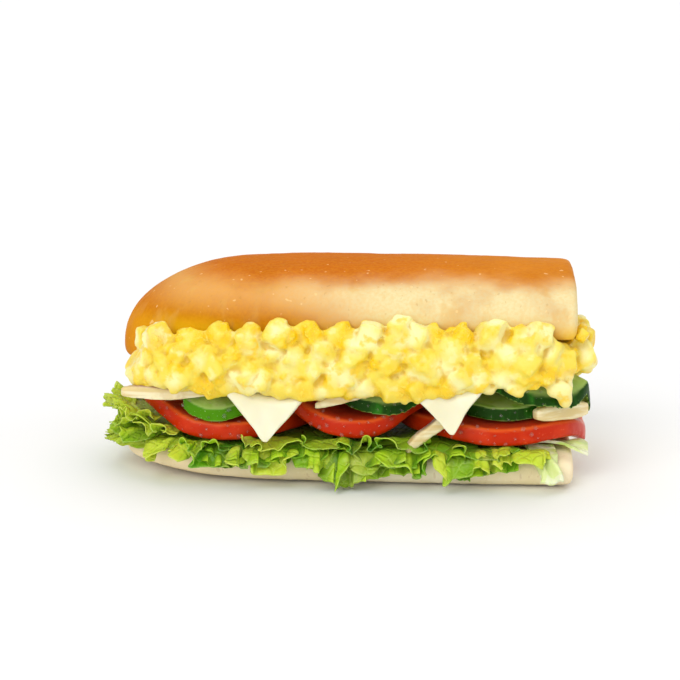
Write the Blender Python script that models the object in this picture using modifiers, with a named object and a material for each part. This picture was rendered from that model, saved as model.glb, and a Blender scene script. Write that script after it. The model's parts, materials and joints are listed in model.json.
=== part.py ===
"""A submarine sandwich with egg salad, cheese, onion, cucumber, tomato and lettuce.

The loaf lies along X, with its round nose at -X and its cut end at +X, and -Y is the front.
Z = 0 is the surface that the bottom bread rests on, and the origin is on that flat base,
in the middle of the loaf. The filling is made from the bottom up. Each slice is lowered onto
what is already there until it almost touches, so the slices rest on each other like real ones.
"""

import math
import random

import bmesh
import bpy
import numpy as np
from mathutils import Euler, Matrix, Vector
from mathutils.bvhtree import BVHTree

MM = 0.001

# The loaf, seen from above
LOAF_LENGTH = 150 * MM
LOAF_HALF_WIDTH = 35 * MM
NOSE_LENGTH = 49 * MM
NOSE_TIP_HALF_WIDTH = 10 * MM
NOSE_TIP_ROUND = 4 * MM
CUT_END_ROUND = 2.4 * MM
SAG_START = -15 * MM

# The bottom bread
BASE_EDGE_HEIGHT = 10.2 * MM
BASE_CROWN = 0.6 * MM
BASE_UNDER_ROUND = 6.5 * MM
BASE_TOP_ROUND = 3 * MM
BASE_NOSE_LIFT = 3.6 * MM
BASE_NOSE_DIP = 1.6 * MM
BREAD_UNDER_SHARE = 0.55
BREAD_OVER_SHARE = 0.3
BREAD_WIDTH_SHARE = 0.6
CROWN_SHARES = (0.62, 0.3, 0.0)

# The top bread
TOP_OF_LOAF = 69.6 * MM
TOP_CUT_HEIGHT = 47.5 * MM
TOP_LIP_HEIGHT = 6 * MM
TOP_LIP_ROUND = 4 * MM
TOP_NOSE_DROP = 26 * MM
TOP_CUT_DROP = 12.5 * MM
TOP_CUT_END_DROP = 1.3 * MM
TOP_DOME_POWER = 2.3
TOP_LIP_SHARE = 0.5
TOP_LIP_WIDTH_SHARE = 0.35

# Where the loaf's sections are
NOSE_STATION_STEP = 13
NOSE_TIP_SHARES = (0.12, 0.5)
MIDDLE_STATIONS = (-5 * MM, 22 * MM, 48 * MM, 64 * MM)
CUT_END_SHARES = (1.0, 0.4, 0.1, 0.0)

# How the filling is stacked
GAP = 0.4 * MM
GRID_STEP = 1 * MM
PILE_HALF_LENGTH = 92 * MM
PILE_HALF_WIDTH = 50 * MM
DRAPE = 5

# How far in the rings on a round slice's faces reach, as a share of its radius
SLICE_RINGS_REACH = 0.75

# Tomato slices: name, centre x, centre y, radius
TOMATO_THICKNESS = 6.6 * MM
TOMATO_SIDES = 26
TOMATO_WORN = 0.85 * MM
TOMATO_SOFTNESS = 6
TOMATOES = (
    ("tomato_left", -39 * MM, -3 * MM, 31 * MM),
    ("tomato_right", 48.5 * MM, -3.5 * MM, 32 * MM),
    ("tomato_middle", 3 * MM, -5.5 * MM, 29.5 * MM),
)

# Cucumber slices: name, centre x, centre y, radius, x where the slice is cut off
CUCUMBER_THICKNESS = 4.6 * MM
CUCUMBER_SIDES = 22
CUCUMBER_SOFTNESS = 3
CUCUMBERS = (
    ("cucumber_1", -41 * MM, -18.5 * MM, 16.5 * MM, -51.5 * MM),
    ("cucumber_2", 13 * MM, -17.5 * MM, 17 * MM, None),
    ("cucumber_3", 51.5 * MM, -16 * MM, 16 * MM, None),
    ("cucumber_4", -42 * MM, 17 * MM, 13.5 * MM, None),
    ("cucumber_5", -3 * MM, 17 * MM, 14 * MM, None),
    ("cucumber_6", 44 * MM, 17 * MM, 14 * MM, None),
)
TOP_CUCUMBER = ("cucumber_7", 61.5 * MM, -15.5 * MM, 19.5 * MM, None)

# Cheese slices: name, x of the front corner, its distance from the loaf's middle, turn, side
CHEESE_THICKNESS = 1.8 * MM
CHEESE_RIM_Y = 35.6 * MM
CHEESE_BEND = 4 * MM
CHEESE_FALL = math.radians(78)
CHEESE_ROWS = 13
CHEESE_COLUMNS = 7
CHEESE_SOFTNESS = 6
CHEESE_HELD_Y = 33.5 * MM
CHEESE_ROW_STEP = 2 * MM
CHEESE_BLUNT = 0.8 * MM
CHEESES = (
    ("cheese_1", -24 * MM, 52.5 * MM, math.radians(0), 67 * MM),
    ("cheese_2", 36 * MM, 51.5 * MM, math.radians(8), 68 * MM),
)

# Onion strips: name, middle x, middle y, length, heading, bow, rise per length, height
ONION_THICKNESS = 3 * MM
ONION_COLUMNS = 8
ONION_END_LOSS = 0.45
ONIONS = (
    ("onion_1", 28.5 * MM, -35 * MM, 15 * MM, math.radians(14), 0.3 * MM, 0.75, 3.4 * MM),
    ("onion_2", 70.4 * MM, -27 * MM, 20 * MM, math.radians(32), 0.4 * MM, 0.0, 5.2 * MM),
    ("onion_3", -53 * MM, 31 * MM, 28 * MM, math.radians(3), 1.2 * MM, 0.0, 4.2 * MM),
    ("onion_4", 7 * MM, 34 * MM, 23 * MM, math.radians(2), 0.8 * MM, 0.1, 3.6 * MM),
    ("onion_5", -55.5 * MM, -34.2 * MM, 31 * MM, math.radians(-1), -1.2 * MM, 0.0, 4.4 * MM),
    ("onion_6", 2.5 * MM, -34.8 * MM, 21 * MM, math.radians(1), -0.6 * MM, 0.27, 2.8 * MM),
    ("onion_7", 63 * MM, 28 * MM, 22 * MM, math.radians(-14), 1.2 * MM, 0.0, 4.2 * MM),
)

# Lettuce leaves that run through the loaf: name, from x, to x, rim from the middle, length past
# the rim, angle to which it falls, ruffle inwards and outwards, ruffle length
LEAF_THICKNESS = 0.5 * MM
LEAF_COLUMN = 3.1 * MM
LEAF_ROWS = 9
LEAF_BEND = 4.2 * MM
LEAF_FLAT_SHARE = 0.4
LEAF_CORNER_LOSS = 0.35
LEAF_RAGGED = 0.16
RUFFLE_START = 4.6 * MM
RUFFLE_GROWTH = 5 * MM
LOW_LEAVES = (
    ("lettuce_1", -54 * MM, -15.5 * MM, 31.5 * MM, 10.5 * MM, 62, 0.0, 3.2 * MM, 13 * MM),
    ("lettuce_2", -14.5 * MM, 27.5 * MM, 31.5 * MM, 12 * MM, 64, 0.0, 3.4 * MM, 14 * MM),
    ("lettuce_3", 28.5 * MM, 57 * MM, 31.5 * MM, 10 * MM, 60, 0.0, 3.0 * MM, 12 * MM),
)
HIGH_LEAVES = (
    ("lettuce_4", -46 * MM, -3 * MM, 30.5 * MM, 11.5 * MM, 21, 1.2 * MM, 1.4 * MM, 10 * MM),
    ("lettuce_5", -1.5 * MM, 44 * MM, 30.5 * MM, 11 * MM, 22, 1.2 * MM, 1.4 * MM, 11 * MM),
)

# Leaves round the nose: name, from angle, to angle, inner radius, length past the rim, rise of the
# rim, angle to which it falls, ruffle height, number of ruffles
NOSE_CENTRE_X = -40 * MM
NOSE_LEAF_COLUMNS = 17
NOSE_LEAF_ROWS = 7
NOSE_LEAF_INSET = 3.5 * MM
NOSE_LEAF_BEND = 4 * MM
NOSE_LEAF_FLAT_SHARE = 0.45
NOSE_RUFFLE_START = 1.5 * MM
NOSE_RUFFLE_GROWTH = 6 * MM
NOSE_RISE_FACING = math.radians(165)
NOSE_RISE_LEAST = 0.3
LOW_NOSE_LEAF = ("lettuce_nose_low", 118, 242, 10 * MM, 9.5 * MM, 0.0, 38, 2.4 * MM, 4)
HIGH_NOSE_LEAF = ("lettuce_nose_high", 125, 238, 12 * MM, 9 * MM, 11 * MM, 10, 3 * MM, 5)

# Pale strips of leaf at the cut end: name, start x, start y, heading, length, width, fall
SHRED_THICKNESS = 0.9 * MM
SHRED_HELD_INSET = 3.4 * MM
SHRED_HELD_X = 72 * MM
SHRED_NARROWING = 0.3
SHREDS = (
    ("lettuce_shred_1", 63.5 * MM, -24 * MM, -78, 18 * MM, 10 * MM, 6 * MM),
    ("lettuce_shred_2", 60 * MM, -21 * MM, 2, 20 * MM, 9 * MM, 3 * MM),
    ("lettuce_shred_3", 61 * MM, 12 * MM, 10, 18 * MM, 9 * MM, 4 * MM),
    ("lettuce_shred_4", 63.5 * MM, 24 * MM, 80, 17 * MM, 10 * MM, 6 * MM),
)

# The egg salad
EGG_CORE_LEFT = -64 * MM
EGG_CORE_RIGHT = 72 * MM
EGG_CORE_HALF_WIDTH = 33 * MM
EGG_CORE_CORNER = 14 * MM
EGG_CORE_COLUMNS = 16
EGG_CORE_ROWS = 6
EGG_LUMP_SPACING = 9.6 * MM
EGG_ROWS = 4
EGG_CORNER_STEPS = 6
EGG_LUMP_SIZES = (4.0 * MM, 5.6 * MM)
EGG_LUMP_OUT = (1.8 * MM, 4.6 * MM)
EGG_LUMP_RISE = 1.2 * MM
EGG_LUMP_SAG = 0.6
EGG_CUBES = 0.55
EGG_CUBE_SIDE = 1.55
EGG_BALL_RADIUS = 1.12
EGG_LEAST_HEIGHT = 2 * MM
EGG_FRONT_LOW = 32.5 * MM
EGG_FRONT_HIGH = 50 * MM
EGG_TRIANGLES = 3900
EGG_CLEAR = 1.1 * MM
EGG_CORE_REACH = 9
EGG_SEED = 7


def clear_scene():
    for obj in list(bpy.data.objects):
        bpy.data.objects.remove(obj, do_unlink=True)


def new_collection(name):
    collection = bpy.data.collections.new(name)
    bpy.context.scene.collection.children.link(collection)
    return collection


def finish_of(name, colour, roughness):
    """A Principled material with the part's own colour."""
    material = bpy.data.materials.new(name)
    material.use_nodes = True
    shader = material.node_tree.nodes["Principled BSDF"]
    shader.inputs["Base Color"].default_value = (*colour, 1)
    shader.inputs["Roughness"].default_value = roughness
    shader.inputs["Metallic"].default_value = 0
    return material


def object_from(bm, name, material, collection):
    """Turns a bmesh into a named object made of triangles that face outwards."""
    bmesh.ops.recalc_face_normals(bm, faces=bm.faces)
    bmesh.ops.triangulate(bm, faces=bm.faces)
    mesh = bpy.data.meshes.new(name)
    bm.to_mesh(mesh)
    bm.free()
    if material:
        mesh.materials.append(material)
    mesh.shade_smooth()
    obj = bpy.data.objects.new(name, mesh)
    collection.objects.link(obj)
    return obj


def apply_modifiers(obj):
    """Replaces the object's mesh by what its modifiers make of it."""
    graph = bpy.context.evaluated_depsgraph_get()
    made = bpy.data.meshes.new_from_object(obj.evaluated_get(graph))
    obj.modifiers.clear()
    obj.data = made


def smooth_step(share):
    share = min(1.0, max(0.0, share))
    return share * share * (3 - 2 * share)


# The loaf


def half_width(x):
    """Half the loaf's width at x, seen from above."""
    into = min(1.0, max(0.0, (x + LOAF_LENGTH / 2) / NOSE_LENGTH))
    blunt = 1 - (NOSE_TIP_HALF_WIDTH / LOAF_HALF_WIDTH) ** 2
    return LOAF_HALF_WIDTH * math.sqrt(1 - blunt * (1 - into) ** 2)


def sag(x):
    """0 along the loaf, growing to 1 at the tip of the nose."""
    return max(0.0, (SAG_START - x) / (LOAF_LENGTH / 2 + SAG_START)) ** 2


def end_inset(x):
    """How far the section shrinks at the tip and at the cut end, which have round edges."""
    for left, rounding in (
        (x + LOAF_LENGTH / 2, NOSE_TIP_ROUND),
        (LOAF_LENGTH / 2 - x, CUT_END_ROUND),
    ):
        if left < rounding:
            return rounding - math.sqrt(rounding**2 - (rounding - left) ** 2)
    return 0.0


def base_edge(x):
    return BASE_EDGE_HEIGHT - BASE_NOSE_DIP * sag(x)


def base_top(x, y):
    """Height of the bottom bread's cut face."""
    across = min(1.0, abs(y) / half_width(x))
    return base_edge(x) + BASE_CROWN * (1 - across**2)


def top_cut(x):
    """Height of the top bread's cut face."""
    return TOP_CUT_HEIGHT - TOP_CUT_DROP * sag(x)


def arc(centre, radii, start, end, steps, power=2.0):
    """Points on a superellipse arc, from one angle in degrees to another."""
    points = []
    for step in range(steps + 1):
        angle = math.radians(start + (end - start) * step / steps)
        cos, sin = math.cos(angle), math.sin(angle)
        across = math.copysign(abs(cos) ** (2 / power), cos)
        up = math.copysign(abs(sin) ** (2 / power), sin)
        points.append((centre[0] + radii[0] * across, centre[1] + radii[1] * up))
    return points


def mirrored_section(x, half, grow):
    """A closed section from its half at +Y, which runs from the lowest middle to the highest."""
    middle = sum(z for _, z in half) / len(half)
    points = []
    for y, z in half + [(-y, z) for y, z in reversed(half) if y > 1e-6]:
        wider = math.copysign(grow, y) if y else 0.0
        higher = math.copysign(grow, z - middle)
        points.append(Vector((x * (1 + 2 * grow / LOAF_LENGTH), y + wider, z + higher)))
    return points


def base_section(x, grow=0.0):
    inset = end_inset(x)
    low = BASE_NOSE_LIFT * sag(x) + inset
    edge = base_edge(x) - inset
    width = half_width(x) - inset
    under = min(BASE_UNDER_ROUND, BREAD_UNDER_SHARE * (edge - low), BREAD_WIDTH_SHARE * width)
    over = min(BASE_TOP_ROUND, BREAD_OVER_SHARE * (edge - low))
    half = [(0.0, low)]
    half += arc((width - under, low + under), (under, under), -90, 0, 3)
    half += arc((width - over, edge - over), (over, over), 0, 90, 2)
    for share in CROWN_SHARES:
        half.append((width * share, base_top(x, width * share) - inset))
    return mirrored_section(x, half, grow)


def top_section(x, grow=0.0):
    inset = end_inset(x)
    low = top_cut(x) + inset
    into = min(1.0, max(0.0, (x + LOAF_LENGTH / 2) / NOSE_LENGTH))
    high = TOP_OF_LOAF - TOP_NOSE_DROP * (1 - math.sqrt(1 - (1 - into) ** 2)) - inset
    high -= TOP_CUT_END_DROP * max(0.0, 2 * x / LOAF_LENGTH) ** 2
    width = half_width(x) - inset
    lip = min(TOP_LIP_HEIGHT, TOP_LIP_SHARE * (high - low))
    over = min(TOP_LIP_ROUND, TOP_LIP_WIDTH_SHARE * width)
    half = [(0.0, low)]
    half += arc((width - over, low + lip), (over, lip), -90, 0, 2)
    half += arc((0.0, low + lip), (width, high - low - lip), 0, 90, 7, TOP_DOME_POWER)[1:-1]
    half.append((0.0, high))
    return mirrored_section(x, half, grow)


def loaf_stations():
    """Where the loaf's sections are: close together at the tip and at the cut end."""
    left, right = -LOAF_LENGTH / 2, LOAF_LENGTH / 2
    turns = [math.radians(degrees) for degrees in range(0, 91, NOSE_STATION_STEP)]
    stations = [left + NOSE_LENGTH * (1 - math.cos(turn)) for turn in turns]
    stations += [left + share * NOSE_TIP_ROUND for share in NOSE_TIP_SHARES]
    stations += MIDDLE_STATIONS
    stations += [right - CUT_END_ROUND * share for share in CUT_END_SHARES]
    return sorted(stations)


def loft(name, sections, material, collection):
    """A closed solid through sections that all have the same number of points."""
    bm = bmesh.new()
    rings = [[bm.verts.new(point) for point in section] for section in sections]
    for near, far in zip(rings, rings[1:]):
        for i in range(len(near)):
            j = (i + 1) % len(near)
            bm.faces.new((near[i], near[j], far[j], far[i]))
    bm.faces.new(rings[0])
    bm.faces.new(rings[-1])
    return object_from(bm, name, material, collection)


# The pile


class Pile:
    """Heights of what is already stacked, on a grid seen from above."""

    def __init__(self):
        self.xs = np.arange(-PILE_HALF_LENGTH, PILE_HALF_LENGTH + GRID_STEP / 2, GRID_STEP)
        self.ys = np.arange(-PILE_HALF_WIDTH, PILE_HALF_WIDTH + GRID_STEP / 2, GRID_STEP)
        self.heights = np.zeros((len(self.xs), len(self.ys)))
        self.draped = self.heights

    def seen(self, obj, up):
        """The object's top seen from above, or its underside seen from below, at each grid point."""
        mesh = obj.data
        points = [vertex.co for vertex in mesh.vertices]
        tree = BVHTree.FromPolygons(points, [tuple(face.vertices) for face in mesh.polygons])
        start, way = (-1.0, Vector((0, 0, 1))) if up else (1.0, Vector((0, 0, -1)))
        found = np.full(self.heights.shape, np.nan)
        low = [min(point[axis] for point in points) for axis in (0, 1)]
        high = [max(point[axis] for point in points) for axis in (0, 1)]
        for i in np.flatnonzero((self.xs >= low[0]) & (self.xs <= high[0])):
            for j in np.flatnonzero((self.ys >= low[1]) & (self.ys <= high[1])):
                hit = tree.ray_cast(Vector((self.xs[i], self.ys[j], start)), way)
                if hit[0]:
                    found[i, j] = hit[0].z
        return found

    def cover(self, obj):
        """Adds the object to the pile as it lies."""
        top = self.seen(obj, up=False)
        self.heights = np.fmax(self.heights, top)
        self.draped = laid_over(self.heights, DRAPE)
        return obj

    def settle(self, obj):
        """Lifts a sheet that already follows the pile, where it would still cut into it."""
        under = self.seen(obj, up=True)
        lift = np.nanmax(self.heights - under) + GAP
        if lift > 0:
            obj.data.transform(Matrix.Translation((0, 0, lift)))
        return self.cover(obj)

    def drop(self, obj):
        """Lowers or raises the object until it rests on the pile, and adds it."""
        under = self.seen(obj, up=True)
        lift = np.nanmax(widened(self.heights, 1) - under) + GAP
        obj.data.transform(Matrix.Translation((0, 0, lift)))
        return self.cover(obj)

    def read(self, heights, x, y):
        """A height between the grid's points."""
        column = (x + PILE_HALF_LENGTH) / GRID_STEP
        row = (y + PILE_HALF_WIDTH) / GRID_STEP
        i = min(max(int(column), 0), len(self.xs) - 2)
        j = min(max(int(row), 0), len(self.ys) - 2)
        a, b = column - i, row - j
        near = heights[i, j] * (1 - b) + heights[i, j + 1] * b
        far = heights[i + 1, j] * (1 - b) + heights[i + 1, j + 1] * b
        return near * (1 - a) + far * a

    def rest(self, x, y):
        """Where a soft sheet lies on the pile."""
        return self.read(self.draped, x, y) + GAP


def widened(heights, reach):
    """Each height becomes the greatest one within reach."""
    for axis in (0, 1):
        best = heights
        for shift in range(-reach, reach + 1):
            best = np.maximum(best, np.roll(heights, shift, axis))
        heights = best
    return heights


def laid_over(heights, softness):
    """A soft sheet on the pile: it touches the high places and hangs between them."""
    sheet = widened(heights, softness)
    for _ in range(softness * softness):
        for axis in (0, 1):
            sheet = (np.roll(sheet, 1, axis) + sheet + np.roll(sheet, -1, axis)) / 3
        sheet = np.maximum(sheet, heights)
    return sheet


# Slices


def slice_of(
    name, x, y, radius, thickness, sides, bend, material, collection,
    cut_at=None, worn=0.0, rings=1,
):
    """A round slice whose faces follow bend, which gives a height for each place."""
    bm = bmesh.new()
    bmesh.ops.create_cone(
        bm, cap_ends=True, segments=sides, radius1=radius, radius2=radius, depth=thickness
    )
    if cut_at is not None:
        bmesh.ops.bisect_plane(
            bm, geom=bm.verts[:] + bm.edges[:] + bm.faces[:],
            plane_co=(cut_at - x, 0, 0), plane_no=(-1, 0, 0), clear_outer=True,
        )
        bmesh.ops.holes_fill(bm, edges=[edge for edge in bm.edges if edge.is_boundary])
    if worn:
        def rise(edge):
            return abs(edge.verts[0].co.z - edge.verts[1].co.z)

        rims = [edge for edge in bm.edges if rise(edge) < thickness / 4]
        bmesh.ops.bevel(bm, geom=rims, offset=worn, segments=1, affect="EDGES")
    caps = [face for face in bm.faces if abs(face.normal.z) > 0.9]
    for _ in range(rings):
        bmesh.ops.inset_individual(bm, faces=caps, thickness=radius * SLICE_RINGS_REACH / (rings + 1))
    for vertex in bm.verts:
        vertex.co.x += x
        vertex.co.y += y
        vertex.co.z += bend(vertex.co.x, vertex.co.y)
    return object_from(bm, name, material, collection)


def bend_of(pile, softness):
    """Heights of a slice that follows what it lies on."""
    below = laid_over(pile.heights, softness)
    return lambda x, y: pile.read(below, x, y)


def tomatoes(pile, material, collection):
    for name, x, y, radius in TOMATOES:
        made = slice_of(
            name, x, y, radius, TOMATO_THICKNESS, TOMATO_SIDES, bend_of(pile, TOMATO_SOFTNESS),
            material, collection, worn=TOMATO_WORN, rings=3,
        )
        pile.drop(made)


def cucumber(pile, spec, material, collection):
    name, x, y, radius, cut_at = spec
    made = slice_of(
        name, x, y, radius, CUCUMBER_THICKNESS, CUCUMBER_SIDES, bend_of(pile, CUCUMBER_SOFTNESS),
        material, collection, cut_at, rings=2,
    )
    pile.drop(made)


# Sheets


def sheet(name, columns, rows, place, thickness, material, collection):
    """A thin solid: a grid whose points place() puts in space, given two shares from 0 to 1."""
    bm = bmesh.new()
    bmesh.ops.create_grid(bm, x_segments=columns, y_segments=rows, size=0.5)
    for vertex in bm.verts:
        vertex.co = place(vertex.co.x + 0.5, vertex.co.y + 0.5)
    obj = object_from(bm, name, material, collection)
    solid = obj.modifiers.new("Thickness", "SOLIDIFY")
    solid.thickness = thickness
    solid.offset = 0
    apply_modifiers(obj)
    return obj


def hanging(length, radius, fall):
    """How far out and down a sheet is, this length past the edge that it bends over."""
    turned = min(length / radius, fall)
    out = radius * math.sin(turned)
    down = radius * (1 - math.cos(turned))
    straight = length - radius * turned
    return out + straight * math.cos(turned), down + straight * math.sin(turned), turned


def cheese_row(share, tip, back):
    """Distance across the loaf for a share of the slice, with more rows where it bends."""
    rim = CHEESE_RIM_Y
    bent = (rim, rim + CHEESE_ROW_STEP, rim + 2 * CHEESE_ROW_STEP)
    flat = (0.4 * rim, 0.8 * rim)
    places = [-tip, -0.5 * (tip + rim), 0.0, back]
    places += [side * place for side in (-1, 1) for place in bent + flat]
    places = sorted(min(place, back) for place in places)
    at = share * (len(places) - 1)
    low = min(int(at), len(places) - 2)
    return places[low] + (places[low + 1] - places[low]) * (at - low)


def cheeses(pile, spec, material, collection):
    """A square slice laid cornerwise, with one corner hanging down at each side of the loaf."""
    name, tip_x, tip, turn, side = spec
    diagonal = side * math.sqrt(2)
    axis = Vector((-math.sin(turn), math.cos(turn)))
    corner = Vector((tip_x, -tip))
    back = corner + axis * diagonal
    left_corner = corner + axis * diagonal / 2 + Vector((-axis.y, axis.x)) * diagonal / 2
    right_corner = corner + axis * diagonal / 2 + Vector((axis.y, -axis.x)) * diagonal / 2

    below = laid_over(pile.heights, CHEESE_SOFTNESS)

    def edge_x(v, side_corner):
        if v <= side_corner.y:
            share = (v - corner.y) / (side_corner.y - corner.y)
            return corner.x + (side_corner.x - corner.x) * share
        share = (v - side_corner.y) / (back.y - side_corner.y)
        return side_corner.x + (back.x - side_corner.x) * share

    def place(a, b):
        v = cheese_row(b, tip - CHEESE_BLUNT, back.y - CHEESE_BLUNT)
        left, right = edge_x(v, left_corner), edge_x(v, right_corner)
        x = left + (right - left) * a
        y = max(-CHEESE_RIM_Y, min(CHEESE_RIM_Y, v))
        held_y = max(-CHEESE_HELD_Y, min(CHEESE_HELD_Y, y))
        z = pile.read(below, x, held_y) + GAP + CHEESE_THICKNESS / 2
        out, down, _ = hanging(abs(v) - abs(y), CHEESE_BEND, CHEESE_FALL)
        return Vector((x, y + math.copysign(out, v), z - down))

    made = sheet(name, CHEESE_COLUMNS, CHEESE_ROWS, place, CHEESE_THICKNESS, material, collection)
    pile.settle(made)


def onion(pile, spec, material, collection):
    """A strip of an onion ring, which stands on its edge and is slimmer at its ends."""
    name, x, y, length, heading, bow, slope, height = spec
    along = Vector((math.cos(heading), math.sin(heading)))
    across = Vector((-along.y, along.x))

    def place(a, b):
        from_middle = (a - 0.5) * 2
        spot = Vector((x, y)) + along * length / 2 * from_middle - across * bow * from_middle**2
        tall = height * (1 - ONION_END_LOSS * abs(from_middle) ** 3)
        z = tall * (b - 0.5) + slope * length / 2 * from_middle
        return Vector((spot.x, spot.y, z))

    pile.drop(sheet(name, ONION_COLUMNS, 1, place, ONION_THICKNESS, material, collection))


def leaf(pile, spec, material, collection):
    """A lettuce leaf that runs through the loaf and hangs out in ruffles on both sides."""
    name, start, end, rim_at, past, fall, inwards, outwards, wave = spec

    def place(a, b):
        x = start + (end - start) * a
        side = -1 if b < 0.5 else 1
        rim = min(rim_at, half_width(x) - LOAF_HALF_WIDTH + rim_at)
        ragged = LEAF_RAGGED * math.sin(9 * a + 2 * side)
        reach = past * (1 - LEAF_CORNER_LOSS * abs(2 * a - 1) ** 4 + ragged)
        share = abs(b - 0.5) * 2
        hung = max(0.0, share - LEAF_FLAT_SHARE) / (1 - LEAF_FLAT_SHARE)
        v = rim * min(1.0, share / LEAF_FLAT_SHARE) + reach * hung
        beyond = max(0.0, v - rim)
        y = min(v, rim)
        z = pile.rest(x, side * y) + LEAF_THICKNESS / 2
        out, down, turned = hanging(beyond, LEAF_BEND, math.radians(fall))
        phase = math.tau * x / wave + 1.7 * side + 1.2 * math.sin(math.tau * x / (2.7 * wave))
        ruffle = (math.sin(phase) * (outwards + inwards) + outwards - inwards) / 2
        ruffle *= smooth_step((beyond - RUFFLE_START) / RUFFLE_GROWTH)
        x += 0.5 * ruffle * math.cos(phase)
        y += out + ruffle * math.sin(turned)
        return Vector((x, side * y, z - down + ruffle * math.cos(turned)))

    columns = round((end - start) / LEAF_COLUMN)
    pile.settle(sheet(name, columns, LEAF_ROWS, place, LEAF_THICKNESS, material, collection))


def nose_radius(angle):
    """Distance from the nose's centre to the loaf's outline, towards an angle seen from above."""
    inside, outside = 0.0, 60 * MM
    for _ in range(24):
        middle = (inside + outside) / 2
        x = NOSE_CENTRE_X + middle * math.cos(angle)
        if abs(middle * math.sin(angle)) < half_width(x) and x > -LOAF_LENGTH / 2:
            inside = middle
        else:
            outside = middle
    return inside


def nose_leaf(pile, spec, material, collection):
    """A leaf that fans out round the nose, and either hangs over its edge or curls up."""
    name, start, end, inner, past, rise, fall, ruffle_height, waves = spec

    def place(a, b):
        angle = math.radians(start + (end - start) * a)
        rim = nose_radius(angle) - NOSE_LEAF_INSET
        ragged = LEAF_RAGGED * math.sin(11 * a)
        reach = past * (1 - LEAF_CORNER_LOSS * abs(2 * a - 1) ** 4 + ragged)
        hung = max(0.0, b - NOSE_LEAF_FLAT_SHARE) / (1 - NOSE_LEAF_FLAT_SHARE)
        radius = inner + (rim - inner) * min(1.0, b / NOSE_LEAF_FLAT_SHARE) + reach * hung
        beyond = max(0.0, radius - rim)
        out, down, turned = hanging(beyond, NOSE_LEAF_BEND, math.radians(fall))
        wave = math.sin(waves * math.tau * a + 1.1 * math.sin(7 * a))
        grown = smooth_step((beyond - NOSE_RUFFLE_START) / NOSE_RUFFLE_GROWTH)
        ruffle = ruffle_height * (wave + 1) / 2 * grown
        flat = min(radius, rim)
        away = flat + out + ruffle * math.sin(turned)
        x = NOSE_CENTRE_X + flat * math.cos(angle)
        z = pile.rest(x, flat * math.sin(angle)) + LEAF_THICKNESS / 2
        front = smooth_step((math.cos(angle + NOSE_RISE_FACING) - 0.72) / 0.25)
        lifted = rise * (NOSE_RISE_LEAST + (1 - NOSE_RISE_LEAST) * front)
        z += lifted * smooth_step((radius - 18 * MM) / (24 * MM)) - down
        z += ruffle * math.cos(turned)
        return Vector((NOSE_CENTRE_X + away * math.cos(angle), away * math.sin(angle), z))

    made = sheet(name, NOSE_LEAF_COLUMNS, NOSE_LEAF_ROWS, place, LEAF_THICKNESS, material, collection)
    pile.settle(made)


def shred(pile, spec, material, collection):
    """A strip of pale leaf that starts in the pile and sticks out over the loaf's edge."""
    name, x, y, heading, length, width, fall = spec
    along = Vector((math.cos(math.radians(heading)), math.sin(math.radians(heading))))
    across = Vector((-along.y, along.x))

    def place(a, b):
        aside = width * (b - 0.5) * (1 - SHRED_NARROWING * a)
        spot = Vector((x, y)) + along * length * a + across * aside
        side = half_width(spot.x) - SHRED_HELD_INSET
        held = Vector((min(spot.x, SHRED_HELD_X), max(-side, min(side, spot.y))))
        beyond = (spot - held).length
        z = pile.rest(held.x, held.y) + SHRED_THICKNESS / 2
        z += 0.5 * MM * a * math.sin(9 * b + 2 * a) - fall * (beyond / (9 * MM)) ** 1.5
        return Vector((spot.x, spot.y, z))

    pile.settle(sheet(name, 6, 3, place, SHRED_THICKNESS, material, collection))


# The egg salad


def egg_outline(x):
    """Half width of the egg salad's core, a rectangle with round corners seen from above."""
    corner = EGG_CORE_CORNER
    near = min(x - EGG_CORE_LEFT, EGG_CORE_RIGHT - x)
    if near >= corner:
        return EGG_CORE_HALF_WIDTH
    step = corner - math.sqrt(max(0.0, corner**2 - (corner - near) ** 2))
    return EGG_CORE_HALF_WIDTH - step


def egg_core(pile, collection):
    """The body of the egg salad, between the pile and the top bread."""
    bm = bmesh.new()
    bmesh.ops.create_grid(bm, x_segments=EGG_CORE_COLUMNS, y_segments=EGG_CORE_ROWS, size=0.5)

    def spot(vertex):
        share = (1 - math.cos(math.pi * (vertex.co.x + 0.5))) / 2
        x = EGG_CORE_LEFT + (EGG_CORE_RIGHT - EGG_CORE_LEFT) * share
        return x, 2 * vertex.co.y * egg_outline(x)

    below = widened(pile.heights, EGG_CORE_REACH)
    upper = bmesh.ops.extrude_face_region(bm, geom=bm.faces[:])["geom"]
    raised = {item for item in upper if isinstance(item, bmesh.types.BMVert)}
    for vertex in bm.verts:
        x, y = spot(vertex)
        low = pile.read(below, x, y) + GAP
        high = top_cut(x) - EGG_CLEAR - GAP
        vertex.co = Vector((x, y, max(high, low + EGG_LEAST_HEIGHT) if vertex in raised else low))
    return object_from(bm, "egg_salad", None, collection)


def lump_places():
    """Where the lumps sit: around the core's outline, in rows one above the other."""
    corner = EGG_CORE_CORNER
    outline = []
    for x, y, start in (
        (EGG_CORE_RIGHT - corner, corner - EGG_CORE_HALF_WIDTH, -90),
        (EGG_CORE_RIGHT - corner, EGG_CORE_HALF_WIDTH - corner, 0),
        (EGG_CORE_LEFT + corner, EGG_CORE_HALF_WIDTH - corner, 90),
        (EGG_CORE_LEFT + corner, corner - EGG_CORE_HALF_WIDTH, 180),
    ):
        turn = arc((x, y), (corner, corner), start, start + 90, EGG_CORNER_STEPS)
        outline += [Vector(point) for point in turn]
    places = []
    for row in range(EGG_ROWS):
        walked = EGG_LUMP_SPACING * (0.5 if row % 2 else 0.0)
        for near, far in zip(outline, outline[1:] + outline[:1]):
            way = (far - near).normalized()
            length = (far - near).length
            while walked < length:
                places.append((near + way * walked, Vector((way.y, -way.x)), row))
                walked += EGG_LUMP_SPACING
            walked -= length
    return places


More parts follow.
